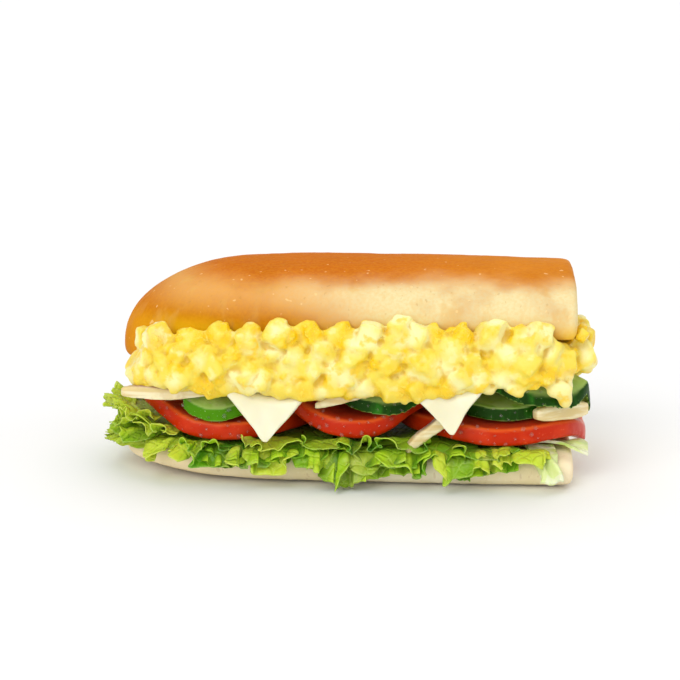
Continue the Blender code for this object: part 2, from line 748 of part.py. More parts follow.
def egg_lump(rng, centre, size, squarish, collection):
    """A cube of egg white, or a round lump of yolk."""
    bm = bmesh.new()
    if squarish:
        bmesh.ops.create_cube(bm, size=EGG_CUBE_SIDE)
    else:
        bmesh.ops.create_icosphere(bm, subdivisions=1, radius=EGG_BALL_RADIUS)
    stretch = Vector((rng.uniform(0.85, 1.25), rng.uniform(0.85, 1.1), rng.uniform(0.8, 1.05)))
    turn = Euler([rng.uniform(0, math.tau) for _ in range(3)]).to_matrix().to_4x4()
    bm.transform(Matrix.Translation(centre) @ turn @ Matrix.Diagonal((*(stretch * size), 1)))
    return object_from(bm, "egg_lump", None, collection)


def keep_largest(obj):
    """Drops loose scraps and the walls of sealed hollows: only the largest shell stays."""
    bm = bmesh.new()
    bm.from_mesh(obj.data)
    left = set(bm.faces)
    shells = []
    while left:
        shell, waiting = set(), [left.pop()]
        while waiting:
            face = waiting.pop()
            shell.add(face)
            for edge in face.edges:
                for other in edge.link_faces:
                    if other in left:
                        left.discard(other)
                        waiting.append(other)
        shells.append(shell)
    largest = max(shells, key=len)
    bmesh.ops.delete(bm, geom=[face for face in bm.faces if face not in largest], context="FACES")
    bmesh.ops.triangulate(bm, faces=bm.faces)
    bm.to_mesh(obj.data)
    bm.free()


def egg_salad(pile, material, collection, helpers):
    rng = random.Random(EGG_SEED)
    lumps = bpy.data.collections.new("egg lumps")
    core = egg_core(pile, collection)
    for spot, outward, row in lump_places():
        size = rng.uniform(*EGG_LUMP_SIZES)
        share = row / (EGG_ROWS - 1)
        z = EGG_FRONT_LOW + (EGG_FRONT_HIGH - EGG_FRONT_LOW) * share
        z += rng.uniform(-EGG_LUMP_RISE, EGG_LUMP_RISE)
        out = rng.uniform(*EGG_LUMP_OUT)
        squarish = rng.random() < EGG_CUBES
        middle = spot + outward * out
        z -= TOP_CUT_DROP * sag(middle.x) * EGG_LUMP_SAG * share
        lump = egg_lump(rng, Vector((middle.x, middle.y, z)), size, squarish, lumps)
        lift = np.nanmax(pile.heights - pile.seen(lump, up=True)) + EGG_CLEAR
        if lift > 0:
            lump.data.transform(Matrix.Translation((0, 0, lift)))
    sections = [top_section(x, EGG_CLEAR) for x in loaf_stations()]
    bread = loft("bread_cutter", sections, None, helpers)
    bread.hide_render = True
    bread.display_type = "WIRE"
    union = core.modifiers.new("Lumps", "BOOLEAN")
    union.operation = "UNION"
    union.operand_type = "COLLECTION"
    union.collection = lumps
    union.solver = "EXACT"
    bpy.context.view_layer.update()
    apply_modifiers(core)
    for lump in list(lumps.objects):
        bpy.data.objects.remove(lump, do_unlink=True)
    bpy.data.collections.remove(lumps)
    cut = core.modifiers.new("Bread", "BOOLEAN")
    cut.operation = "DIFFERENCE"
    cut.object = bread
    cut.solver = "MANIFOLD"
    apply_modifiers(core)
    keep_largest(core)
    fewer = core.modifiers.new("Fewer", "DECIMATE")
    fewer.ratio = min(1.0, EGG_TRIANGLES / len(core.data.polygons))
    apply_modifiers(core)
    core.data.materials.clear()
    core.data.materials.append(material)
    core.data.shade_smooth()


def main():
    clear_scene()
    parts = new_collection("submarine_sandwich")
    helpers = new_collection("cutters")
    crust = finish_of("Golden crust", (0.74, 0.38, 0.12), 0.4)
    bread = finish_of("Pale bread", (0.78, 0.62, 0.42), 0.7)
    egg = finish_of("Egg salad", (0.93, 0.82, 0.32), 0.3)
    flesh = finish_of("Tomato", (0.72, 0.07, 0.03), 0.25)
    green = finish_of("Cucumber", (0.10, 0.30, 0.06), 0.35)
    cheese = finish_of("Cheese", (0.93, 0.88, 0.66), 0.4)
    pale = finish_of("Onion", (0.84, 0.76, 0.58), 0.4)
    leafy = finish_of("Lettuce", (0.38, 0.60, 0.06), 0.35)
    crisp = finish_of("Pale lettuce", (0.70, 0.78, 0.42), 0.35)

    pile = Pile()
    pile.cover(loft("bun_bottom", [base_section(x) for x in loaf_stations()], bread, parts))
    nose_leaf(pile, LOW_NOSE_LEAF, leafy, parts)
    for spec in LOW_LEAVES:
        leaf(pile, spec, leafy, parts)
    for spec in HIGH_LEAVES:
        leaf(pile, spec, leafy, parts)
    nose_leaf(pile, HIGH_NOSE_LEAF, leafy, parts)
    for spec in SHREDS:
        shred(pile, spec, crisp, parts)
    tomatoes(pile, flesh, parts)
    for spec in CUCUMBERS:
        cucumber(pile, spec, green, parts)
    for spec in ONIONS:
        onion(pile, spec, pale, parts)
    cucumber(pile, TOP_CUCUMBER, green, parts)
    cheeses(pile, CHEESES[0], cheese, parts)
    cheeses(pile, CHEESES[1], cheese, parts)
    egg_salad(pile, egg, parts, helpers)
    loft("bun_top", [top_section(x) for x in loaf_stations()], crust, parts)


main()
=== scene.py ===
"""Half a submarine sandwich with egg salad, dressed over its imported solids.

The bread, the slices, the strips and the leaves are refined copies of their solids. The egg
salad is chopped anew over its own core. Every finish is procedural. Lengths are in metres.
"""

import json
import math
from collections import namedtuple

import bpy
import numpy as np
from mathutils import Euler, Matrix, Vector
from mathutils.kdtree import KDTree

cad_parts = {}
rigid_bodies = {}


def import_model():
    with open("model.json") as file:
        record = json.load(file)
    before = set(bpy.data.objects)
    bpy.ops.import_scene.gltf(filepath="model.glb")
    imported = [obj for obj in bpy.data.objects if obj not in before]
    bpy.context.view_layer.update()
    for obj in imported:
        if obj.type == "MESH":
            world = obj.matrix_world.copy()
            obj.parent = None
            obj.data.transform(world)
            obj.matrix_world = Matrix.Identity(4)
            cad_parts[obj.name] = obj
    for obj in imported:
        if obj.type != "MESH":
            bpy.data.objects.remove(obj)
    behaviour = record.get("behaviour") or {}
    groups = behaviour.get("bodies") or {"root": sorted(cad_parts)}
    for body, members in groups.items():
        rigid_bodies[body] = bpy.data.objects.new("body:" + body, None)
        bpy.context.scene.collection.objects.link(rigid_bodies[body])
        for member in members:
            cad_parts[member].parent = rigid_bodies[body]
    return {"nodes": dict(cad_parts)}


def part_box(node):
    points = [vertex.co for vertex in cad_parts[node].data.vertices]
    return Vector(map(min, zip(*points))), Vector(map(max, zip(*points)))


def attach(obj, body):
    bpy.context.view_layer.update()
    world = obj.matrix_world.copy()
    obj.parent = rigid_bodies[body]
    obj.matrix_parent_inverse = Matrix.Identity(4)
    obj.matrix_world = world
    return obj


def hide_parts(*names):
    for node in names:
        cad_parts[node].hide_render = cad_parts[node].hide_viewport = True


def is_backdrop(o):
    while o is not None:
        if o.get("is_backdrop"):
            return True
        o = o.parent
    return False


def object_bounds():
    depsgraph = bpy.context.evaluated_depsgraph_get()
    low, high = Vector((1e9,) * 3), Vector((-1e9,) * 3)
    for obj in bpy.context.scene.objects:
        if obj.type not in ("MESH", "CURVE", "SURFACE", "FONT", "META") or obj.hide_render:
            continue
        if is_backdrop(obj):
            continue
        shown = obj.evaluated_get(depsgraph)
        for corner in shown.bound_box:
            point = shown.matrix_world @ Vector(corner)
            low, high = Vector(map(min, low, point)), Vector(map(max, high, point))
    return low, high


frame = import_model()
CAD_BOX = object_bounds()

bl_info = {
    "name": "Submarine sandwich",
    "version": (1, 0, 0),
    "blender": (4, 5, 0),
    "location": "3D View > Sidebar > Sandwich",
    "description": "Dresses the sandwich's solids with bread, fillings and finishes",
    "category": "Add Mesh",
}

MM = 0.001

# Points closer than this are merged, and edges sharper than this stay sharp
MERGE = 0.01 * MM
SHARP = math.radians(48)

# The loaf seen from above: a straight part and a nose that narrows to a blunt tip. For the
# fillings the nose is a half circle round its centre.
LOAF_HALF_LENGTH = 75 * MM
LOAF_HALF_WIDTH = 35 * MM
NOSE_CENTRE_X = -40 * MM
NOSE_LENGTH = 49 * MM
NOSE_TIP_HALF_WIDTH = 10 * MM

# How far inside the outline the fillings still show
SHOWN_DEPTH = 4 * MM

TOMATOES = ("tomato_left", "tomato_middle", "tomato_right")
CUCUMBERS = tuple(f"cucumber_{number}" for number in range(1, 8))
LIGHT_CUCUMBERS = ("cucumber_1", "cucumber_5")
CHEESES = ("cheese_1", "cheese_2")
ONIONS = tuple(f"onion_{number}" for number in range(1, 8))
LOW_LEAVES = ("lettuce_nose_low", "lettuce_1", "lettuce_2", "lettuce_3")
HIGH_LEAVES = ("lettuce_nose_high", "lettuce_4", "lettuce_5")
SHREDS = tuple(f"lettuce_shred_{number}" for number in range(1, 5))

# Where a slice's rim starts and is full, as shares of its radius
RIM = (0.8, 0.93)

# Beyond this y and below this z a corner of cheese hangs. Its sides curve inwards, except at the
# tip itself.
CHEESE_HANG_Y = 34 * MM
CHEESE_HANG_Z = 33 * MM
CHEESE_CURVE = 0.7 * MM
CHEESE_TIP = 5 * MM

# How much thinner a strip of onion gets towards its right end, and how much thicker it is made
ONION_TAPER = 0.15
ONION_TAPERS = {"onion_5": 0.7, "onion_2": -0.2, "onion_1": -0.35, "onion_6": 0.3}
ONION_SWELL = 0.1 * MM
ONION_SWELLS = {"onion_1": 0.5 * MM}

# The leaves: how steeply they fall, how far inside the outline they start to fold, how much the
# back is out of step with the front, and the lengths of their waves
LOW_LEAF_FALL = math.radians(60)
HIGH_LEAF_FALL = math.radians(22)
LEAF_START = 3.5 * MM
LEAF_BACK_SHIFT = 1.7
LEAF_FOLD = 8.5 * MM
LEAF_CROSS_FOLD = 9.5 * MM
LEAF_RUFFLE = 3.9 * MM
LEAF_TOOTH = 1.7 * MM
LEAF_TOOTH_DEPTH = 0.5 * MM

# How much of its fall below the rim each of these leaves loses
LEAF_RIM = 11.5 * MM
LEAF_LIFTS = {"lettuce_1": 0.45, "lettuce_nose_low": 0.6}

# From dark green at 0 to yellow green at 1
LEAF_TONE = 0.15
LEAF_TONES = {"lettuce_nose_low": 0.6, "lettuce_nose_high": 0.7, "lettuce_2": 0.3}

# Curly pieces of leaf at the front. In millimetres: from and to along the outline, height of the
# rim, reach and depth of the folds. Then how far they bend down, and their tone.
FRILLS = (
    (8, 27, 12.4, 7, 1.5, 0.9, 1.0),
    (23, 46, 12.0, 9.5, 1.9, 1.1, 0.55),
    (42, 65, 12.0, 8.5, 1.8, 0.9, 0.0),
    (61, 80, 12.0, 10, 1.9, 1.2, 0.25),
    (76, 93, 12.2, 7.5, 1.5, 1.2, 0.35),
    (89, 108, 12.0, 8.5, 1.8, 1.0, 0.7),
    (104, 124, 12.0, 9, 1.9, 0.9, 0.2),
    (119, 142, 13.0, 8, 1.9, 0.7, 0.8),
    (139, 162, 13.6, 6.5, 1.6, 0.2, 0.6),
    (18, 38, 13.4, 5.5, 1.4, 0.4, 0.4),
    (46, 68, 15.0, 5.5, 2.3, 0.1, 0.0),
    (66, 88, 15.2, 5.5, 1.8, 0.3, 0.2),
    (86, 108, 14.8, 6, 1.8, 0.3, 0.7),
    (107, 130, 13.4, 6, 1.7, 0.3, 0.1),
    (130, 158, 16.5, 6, 1.8, 0.1, 0.8),
    (138, 168, 19.5, 6, 1.8, -0.1, 0.9),
)
FRILL_GRID = (130, 28)
FRILL_ROOT = 3.0 * MM
FRILL_FOLD = (8.5 * MM, 13.5 * MM)
FRILL_THICKNESS = 0.25 * MM
FRILL_LOWEST = 0.6 * MM

# The pale strips: lengths and depths of their ripples, and how much one past the cut end is
# tilted to show its upper side
SHRED_RIPPLE = 5.2 * MM
SHRED_RIPPLE_DEPTH = 0.7 * MM
SHRED_EDGE = 1.7 * MM
SHRED_EDGE_DEPTH = 0.8 * MM
SHRED_TILT = 0.55
SHRED_LOWEST = 0.3 * MM

# What a chopped piece is, and how many of each are sunk into the core and hang at its edge
WHITE, YOLK, DRESSING = KINDS = (0, 1, 2)
SUNK_SHARES = (0.38, 0.30, 0.32)
HANGING_SHARES = (0.3, 0.25, 0.45)
YOLK_CRUMBS = 0.65

# The egg salad's outline seen from above, and the height of its hem at places along x
EGG_LEFT = -64 * MM
EGG_RIGHT = 72 * MM
EGG_HALF_WIDTH = 33 * MM
EGG_CORNER = 14 * MM
EGG_HEM = MM * np.array(((-66, -50, -44, 26, 36, 48), (32.0, 31.2, 29.8, 29.6, 30.6, 32.4)))

# Gaps between the lumps in each of the hanging rows, and the height of a row
HANGING_GAPS = (4.4 * MM, 5.4 * MM, 6.4 * MM)
HANGING_ROW = 2.8

# Past the cut end the core stays under this height, which slopes down to the front
EGG_CUT = (73 * MM, 76 * MM)
EGG_END_TOP = 45 * MM
EGG_END_SLOPE = 0.2

# The heap is squeezed by this share past its end and its top, and drawn in before its start,
# more so above the heights given, where the lip of bread shows
EGG_END = 80 * MM
EGG_TOP = 54.8 * MM
EGG_SQUEEZE = 0.45
EGG_START = -59 * MM
EGG_LOW_DRAW = 0.1
EGG_LIP_DRAW = 0.18
EGG_LIP_Z = (36 * MM, 41 * MM)
EGG_TRIANGLES = 190000

# The drip at the cut end: centres and widths in millimetres, and stretches
DRIP = (
    ((69.5, -37.0, 33.5), 6.0, (1.5, 0.7, 0.9)),
    ((71.5, -36.6, 30.8), 4.6, (1.0, 0.7, 1.3)),
    ((71.8, -36.2, 29.3), 3.0, (1.0, 0.8, 1.0)),
)

# The most drops of water on one slice
TOMATO_DROPS = 40
CUCUMBER_DROPS = 10

# Where the crust changes, along x and with height, and where it takes painted reflections of the
# egg salad
CREAM_X = (-0.035, 0.02)
EGG_REFLECTION_X = (0.02, -0.03)
NOSE_X = (-0.050, -0.074)
LIGHT_BAKED_X = (0.0, 0.07)
BAKED_Z = (0.0622, 0.0684)
EGG_REFLECTION_Z = (0.0625, 0.0535)
EGG_BOUNCE_Z = (0.0560, 0.0490)
BAKED_WANDER = 5 * MM

# Where the bottom bread is warmer and lighter, as painted light at the nose, and where the egg
# salad is darker, as painted shade
LIT_NOSE_X = (-0.005, -0.06)
WARM_END_X = (0.062, 0.075)
EGG_SHADE_Z = (0.037, 0.029)

# Tints that the finishes lay over the colours in the panel
# Painted reflection of the egg salad, low on the side of the top bread towards the nose
EGG_REFLECTION_GOLD = (0.56, 0.20, 0.003)
# Painted light thrown up from the egg salad, just above the cut of the top bread
EGG_BOUNCE_AMBER = (0.85, 0.50, 0.008)
CREASE = (0.72, 0.44, 0.12)
LIGHT_BAKED = (0.74, 0.27, 0.02)
DARK_BAKED = (0.46, 0.12, 0.004)
BAKED_GRAIN = (0.84, 0.38, 0.02)
BAKED_SPECK = (0.95, 0.66, 0.30)
BAKED_PIT = (0.50, 0.24, 0.05)
LIGHT_CRUMB = (0.88, 0.79, 0.57)
# Warmer and lighter bread; at the nose the lightening is painted light over the shade there
LIT_WARM_CRUMB = (0.98, 0.79, 0.50)
CRUMB_GRAIN = (0.95, 0.86, 0.68)
CRUMB_CRACK = (0.60, 0.42, 0.22)
YOLK_STAIN = (0.94, 0.61, 0.002)
YOLK_SPECKLE = (0.98, 0.80, 0.10)
PALE_DRESSING = (0.93, 0.88, 0.46)
# Painted shade in the hollows of the egg salad
EGG_HOLLOW_SHADE = (0.70, 0.42, 0.006)
# Painted shade on the lowest part of the egg salad
EGG_UNDERSIDE_SHADE = (0.72, 0.50, 0.03)
TOMATO_DARK = (0.40, 0.03, 0.01)
TOMATO_LIGHT = (0.72, 0.055, 0.008)
# Painted highlight along the upper edge of a tomato rim
TOMATO_EDGE_HIGHLIGHT = (0.84, 0.13, 0.02)
TOMATO_SPECK = (0.85, 0.20, 0.08)
CUCUMBER_STREAK = (0.03, 0.20, 0.01)
CUCUMBER_LIGHT = (0.085, 0.30, 0.002)
CUCUMBER_DOT = (0.40, 0.60, 0.22)
CUCUMBER_RING = (0.30, 0.52, 0.07)
CUCUMBER_SEEDS = (0.66, 0.76, 0.34)
# Painted highlight along the upper edge of a cucumber rim
CUCUMBER_EDGE_HIGHLIGHT = (0.42, 0.60, 0.16)
CHEESE_CLOUD = (0.88, 0.84, 0.63)
ONION_FIBRE = (0.86, 0.77, 0.50)
ONION_WET = (0.70, 0.54, 0.26)
ONION_PURPLE = (0.30, 0.12, 0.16)
LEAF_DARK = (0.035, 0.16, 0.004)
LEAF_YELLOW = (0.60, 0.72, 0.05)
LEAF_PATCH = (0.60, 0.70, 0.12)
LEAF_VEIN = (0.55, 0.70, 0.12)
PALE_LEAF_PATCH = (0.44, 0.62, 0.10)
PALE_LEAF_RIB = (0.88, 0.90, 0.70)
WATER = (1.0, 0.93, 0.88)
WHITE_LIGHT = (1.0, 1.0, 1.0)
FLOOR_GREY = (0.94, 0.94, 0.94)

# The stage: suns as name, the way to them, strength and softness in degrees
FLOOR_WIDTH = 60.0
FLOOR_DROP = 0.2 * MM
SKY_STRENGTH = 0.55
SUNS = (
    ("key", (-0.40, -0.80, 0.75), 1.15, 40),
    ("front", (-0.35, -1.0, 0.06), 0.5, 40),
    ("side", (0.85, -0.50, 0.35), 0.5, 60),
    ("top", (0.10, 0.35, 1.0), 0.9, 70),
)
CAMERA_LENS = 100
CAMERA_SENSOR = 36
CAMERA_TURN = math.radians(4)
CAMERA_RISE = math.radians(12)
CAMERA_DISTANCE = 637 * MM
CAMERA_TARGET = (-2.7 * MM, 0, 41 * MM)

Lump = namedtuple("Lump", "shape size stretch turn centre kind", defaults=(None,))


# Properties


def colour_property(name, description, default):
    return bpy.props.FloatVectorProperty(
        name=name, description=description, default=default,
        subtype="COLOR", size=3, min=0.0, max=1.0,
    )


def length_property(name, description, default):
    return bpy.props.FloatProperty(
        name=name, description=description, default=default,
        min=0.0, subtype="DISTANCE", unit="LENGTH",
    )


class SandwichSizes(bpy.types.PropertyGroup):
    """Sizes of what is made finer than the solids."""

    bread_dents: length_property("Bread dents", "How uneven the bread is", 0.5 * MM)
    lump_spacing: length_property("Lump spacing", "Distance between chopped pieces", 5.6 * MM)
    crumb_spacing: length_property("Crumb spacing", "Distance between crumbs of yolk", 2.8 * MM)
    egg_white: length_property("Egg white", "Side of a cube of egg white", 7.6 * MM)
    yolk: length_property("Yolk", "Width of a lump of yolk", 5.0 * MM)
    frill: length_property("Frill", "Depth of the small folds at a leaf's edge", 1.5 * MM)
    drop: length_property("Water drop", "Width of a large drop", 1.5 * MM)
    drop_spacing: length_property("Drop spacing", "Least distance between drops", 2.4 * MM)


class SandwichColours(bpy.types.PropertyGroup):
    """Colours of the sandwich's foods."""

    crust: colour_property("Crust", "Baked top of the bread", (0.59, 0.145, 0.004))
    # Lighter towards the nose as a painted highlight on the side
    crust_tan_highlight: colour_property("Tan crust", "Side of the bread at the nose", (0.74, 0.36, 0.10))
    crust_cream: colour_property("Cream crust", "Side of the bread", (0.81, 0.69, 0.37))
    crumb: colour_property("Pale bread", "Bottom bread", (0.84, 0.71, 0.43))
    egg_white: colour_property("Egg white", "Coated cubes of egg white", (0.92, 0.87, 0.40))
    yolk: colour_property("Yolk", "Crumbled yolk", (0.94, 0.60, 0.001))
    dressing: colour_property("Dressing", "Egg dressing", (0.86, 0.69, 0.075))
    tomato_skin: colour_property("Tomato skin", "Rim of a slice", (0.56, 0.024, 0.001))
    tomato_flesh: colour_property("Tomato flesh", "Face of a slice", (0.50, 0.035, 0.008))
    cucumber_skin: colour_property("Cucumber skin", "Rim of a slice", (0.010, 0.050, 0.002))
    cucumber_flesh: colour_property("Cucumber flesh", "Face of a slice", (0.52, 0.66, 0.14))
    cheese: colour_property("Cheese", "Cheese slices", (0.82, 0.77, 0.53))
    onion: colour_property("Onion", "Onion strips", (0.72, 0.56, 0.24))
    lettuce: colour_property("Lettuce", "Leaves", (0.12, 0.36, 0.006))
    # The crests' colour is a painted highlight on the rising folds
    lettuce_crest_highlight: colour_property("Light lettuce", "Crests of the leaves", (0.42, 0.66, 0.020))
    lettuce_pale: colour_property("Pale lettuce", "Ribs and strips", (0.70, 0.80, 0.34))


# Node helpers


def node(tree, kind, inputs=None, **settings):
    """A new node; each input takes a value or another node's output."""
    made = tree.nodes.new(kind)
    for name, value in settings.items():
        setattr(made, name, value)
    for name, value in (inputs or {}).items():
        if isinstance(value, bpy.types.NodeSocket):
            tree.links.new(value, made.inputs[name])
        else:
            made.inputs[name].default_value = value
    return made


def noise(tree, place, scale, detail=2.0, stretch=None):
    """Noise from 0 to 1, finer along an axis that stretch makes longer."""
    if stretch:
        place = node(tree, "ShaderNodeMapping", {"Vector": place, "Scale": stretch}).outputs[0]
    inputs = {"Vector": place, "Scale": scale, "Detail": detail}
    return node(tree, "ShaderNodeTexNoise", inputs).outputs[0]


def ranged(tree, value, start, end, low=0.0, high=1.0):
    """Goes smoothly from low to high as the value goes from start to end."""
    inputs = {0: value, 1: start, 2: end, 3: low, 4: high}
    return node(tree, "ShaderNodeMapRange", inputs, interpolation_type="SMOOTHSTEP").outputs[0]


def maths(tree, operation, first, second):
    """One sum or product of two values."""
    return node(tree, "ShaderNodeMath", {0: first, 1: second}, operation=operation).outputs[0]


def mixed(tree, share, first, second):
    """The first colour, with this share of the second."""
    first, second = (
        (*value, 1.0) if not isinstance(value, bpy.types.NodeSocket) and len(value) == 3 else value
        for value in (first, second)
    )
    inputs = {0: share, 6: first, 7: second}
    return node(tree, "ShaderNodeMix", inputs, data_type="RGBA").outputs[2]


def tinted(tree, colour, tint, value, start, end, share=1.0):
    """The colour, with up to this share of the tint as the value goes from start to end."""
    return mixed(tree, ranged(tree, value, start, end, 0.0, share), colour, tint)


def with_edge_highlight(tree, colour, tint, share):
    """The colour, with a painted highlight: a lighter line along the upper edge of a slice's rim.
    """
    return mixed(tree, maths(tree, "MULTIPLY", attribute(tree, "upper_edge_highlight"), share), colour, tint)


def axes_of(tree, place):
    """The x, y and z of a place."""
    return node(tree, "ShaderNodeSeparateXYZ", {0: place}).outputs


def attribute(tree, name, output="Fac"):
    """What the mesh keeps under this name."""
    return node(tree, "ShaderNodeAttribute", attribute_name=name).outputs[output]


def bumped(tree, height, distance, strength=1.0, under=None):
    """A normal bumped by the height, over the bumps under it."""
    inputs = {"Height": height, "Distance": distance, "Strength": strength}
    if under:
        inputs["Normal"] = under
    return node(tree, "ShaderNodeBump", inputs).outputs[0]


def new_finish(
    name, roughness, shine=0.5, coat=0.0, subsurface=0.0, reach=(1.0, 0.6, 0.3), depth=0.0
):
    """A material, its node tree, its shader and the Object coordinates."""
    material = bpy.data.materials.new(name)
    material.use_nodes = True
    tree = material.node_tree
    shader = tree.nodes["Principled BSDF"]
    shader.inputs["Roughness"].default_value = roughness
    shader.inputs["Specular IOR Level"].default_value = shine
    shader.inputs["Subsurface Weight"].default_value = subsurface
    shader.inputs["Subsurface Radius"].default_value = reach
    shader.inputs["Subsurface Scale"].default_value = depth
    shader.inputs["Coat Weight"].default_value = coat
    shader.inputs["Coat Roughness"].default_value = 0.12
    place = node(tree, "ShaderNodeTexCoord").outputs["Object"]
    return material, tree, shader, place


def finish_with(tree, shader, colour, normal):
    """Gives the shader its colour and its bumps."""
    tree.links.new(colour, shader.inputs["Base Color"])
    tree.links.new(normal, shader.inputs["Normal"])


# Finishes


def crust_finish(colours):
    """Deep gold-brown on top and at the nose, pale at the side with a painted highlight near the
    nose and painted egg reflections low down, with fine creases and light specks.
    """
    material, tree, shader, place = new_finish("Golden crust", 0.55, shine=0.02)
    x, _, z = axes_of(tree, place)
    patches = noise(tree, place, 55.0, 3.0)
    grain = noise(tree, place, 900.0, 3.0)
    creases = noise(tree, place, 9.0, 4.0, (14.0, 14.0, 2.2))
    specks = noise(tree, place, 420.0, 1.0)
    pits = noise(tree, place, 650.0, 2.0, (1.0, 1.0, 0.35))
    wander = maths(tree, "MULTIPLY", maths(tree, "SUBTRACT", patches, 0.5), BAKED_WANDER)
    height = maths(tree, "ADD", z, wander)
    # The tan side towards the nose is a painted highlight, cream further along
    side = mixed(tree, ranged(tree, x, *CREAM_X), colours.crust_tan_highlight, colours.crust_cream)
    # Painted reflection of the egg salad: the lower side towards the nose turns a deeper gold
    egg_reflection = maths(tree, "MULTIPLY", ranged(tree, height, *EGG_REFLECTION_Z), ranged(tree, x, *EGG_REFLECTION_X))
    side = mixed(tree, egg_reflection, side, EGG_REFLECTION_GOLD)
    # Painted warm light thrown up from the egg salad, just above the cut
    side = tinted(tree, side, EGG_BOUNCE_AMBER, height, *EGG_BOUNCE_Z, 0.85)
    side = tinted(tree, side, CREASE, creases, 0.54, 0.68, 0.4)
    top = ranged(tree, height, *BAKED_Z)
    nose = ranged(tree, x, *NOSE_X, 0.0, 0.7)
    baked = tinted(tree, colours.crust, LIGHT_BAKED, x, *LIGHT_BAKED_X, 0.6)
    colour = mixed(tree, maths(tree, "MAXIMUM", top, nose), side, baked)
    colour = tinted(tree, colour, DARK_BAKED, patches, 0.42, 0.7, 0.3)
    colour = tinted(tree, colour, BAKED_GRAIN, grain, 0.35, 0.65, 0.16)
    colour = tinted(tree, colour, BAKED_SPECK, specks, 0.72, 0.78, 0.5)
    colour = tinted(tree, colour, BAKED_PIT, pits, 0.66, 0.74, 0.3)
    normal = bumped(tree, grain, 0.12 * MM, 0.5)
    normal = bumped(tree, creases, 1.2 * MM, 0.5, normal)
    finish_with(tree, shader, colour, normal)
    return material


def bread_finish(colours):
    """Pale soft crust with faint cracks and a warmer, lighter tint at both ends, which at the nose
    is painted light over its shade.
    """
    material, tree, shader, place = new_finish("Pale bread", 0.7, shine=0.15)
    x, _, _ = axes_of(tree, place)
    patches = noise(tree, place, 70.0, 4.0)
    grain = noise(tree, place, 800.0, 3.0)
    cracks = noise(tree, place, 330.0, 6.0, (1.8, 1.8, 0.5))
    # Warmer and lighter at both ends; at the nose this is painted light over the bread's shade
    lit_nose = ranged(tree, x, *LIT_NOSE_X, 0.0, 0.9)
    at_end = ranged(tree, x, *WARM_END_X, 0.0, 0.55)
    colour = tinted(tree, colours.crumb, LIGHT_CRUMB, patches, 0.35, 0.65)
    colour = mixed(tree, maths(tree, "MAXIMUM", lit_nose, at_end), colour, LIT_WARM_CRUMB)
    colour = tinted(tree, colour, CRUMB_GRAIN, grain, 0.6, 0.75, 0.4)
    colour = tinted(tree, colour, CRUMB_CRACK, cracks, 0.38, 0.30, 0.4)
    normal = bumped(tree, grain, 0.15 * MM, 0.5)
    normal = bumped(tree, cracks, 0.4 * MM, 0.4, normal)
    finish_with(tree, shader, colour, normal)
    return material


def egg_finish():
    """Glossy dressing over the tint that each chopped piece has, with painted shade in the hollows
    and low down.
    """
    material, tree, shader, place = new_finish(
        "Egg salad", 0.36, shine=0.4, coat=0.12,
        subsurface=0.20, reach=(1.0, 0.7, 0.1), depth=3 * MM,
    )
    _, _, height = axes_of(tree, place)
    crumbs = noise(tree, place, 700.0, 4.0)
    soft = noise(tree, place, 210.0, 4.0)
    speckles = maths(tree, "MULTIPLY", ranged(tree, crumbs, 0.5, 0.66), attribute(tree, "yolk"))
    colour = tinted(tree, attribute(tree, "tint", "Color"), YOLK_STAIN, soft, 0.52, 0.66, 0.8)
    colour = tinted(tree, colour, PALE_DRESSING, soft, 0.44, 0.34, 0.4)
    # Painted shade, darker and warmer, in the hollows between the chopped pieces
    colour = tinted(tree, colour, EGG_HOLLOW_SHADE, attribute(tree, "hollow"), 0.0, 1.0, 0.8)
    # Painted shade: darker towards the bottom of the egg salad
    colour = tinted(tree, colour, EGG_UNDERSIDE_SHADE, height, *EGG_SHADE_Z, 0.45)
    colour = mixed(tree, maths(tree, "MULTIPLY", speckles, 0.6), colour, YOLK_SPECKLE)
    normal = bumped(tree, crumbs, 0.3 * MM, 0.35)
    normal = bumped(tree, speckles, 0.4 * MM, 0.6, normal)
    finish_with(tree, shader, colour, normal)
    return material


def tomato_finish(colours):
    """Wet red skin at the rim with a painted highlight along its upper edge, mottled flesh on the
    faces.
    """
    material, tree, shader, place = new_finish(
        "Tomato", 0.3, shine=0.1, coat=0.06,
        subsurface=0.15, reach=(1.0, 0.15, 0.05), depth=3 * MM,
    )
    mottle = noise(tree, place, 130.0, 4.0)
    fine = noise(tree, place, 1100.0, 2.0)
    flesh = tinted(tree, colours.tomato_flesh, TOMATO_DARK, mottle, 0.4, 0.62)
    skin = tinted(tree, colours.tomato_skin, TOMATO_LIGHT, mottle, 0.45, 0.7, 0.5)
    colour = mixed(tree, attribute(tree, "rim"), flesh, skin)
    # Painted highlight: a lighter line along the rim's upper edge
    colour = with_edge_highlight(tree, colour, TOMATO_EDGE_HIGHLIGHT, 0.7)
    colour = tinted(tree, colour, TOMATO_SPECK, fine, 0.66, 0.74, 0.35)
    normal = bumped(tree, mottle, 0.4 * MM, 0.3)
    normal = bumped(tree, fine, 0.1 * MM, 0.25, normal)
    finish_with(tree, shader, colour, normal)
    return material


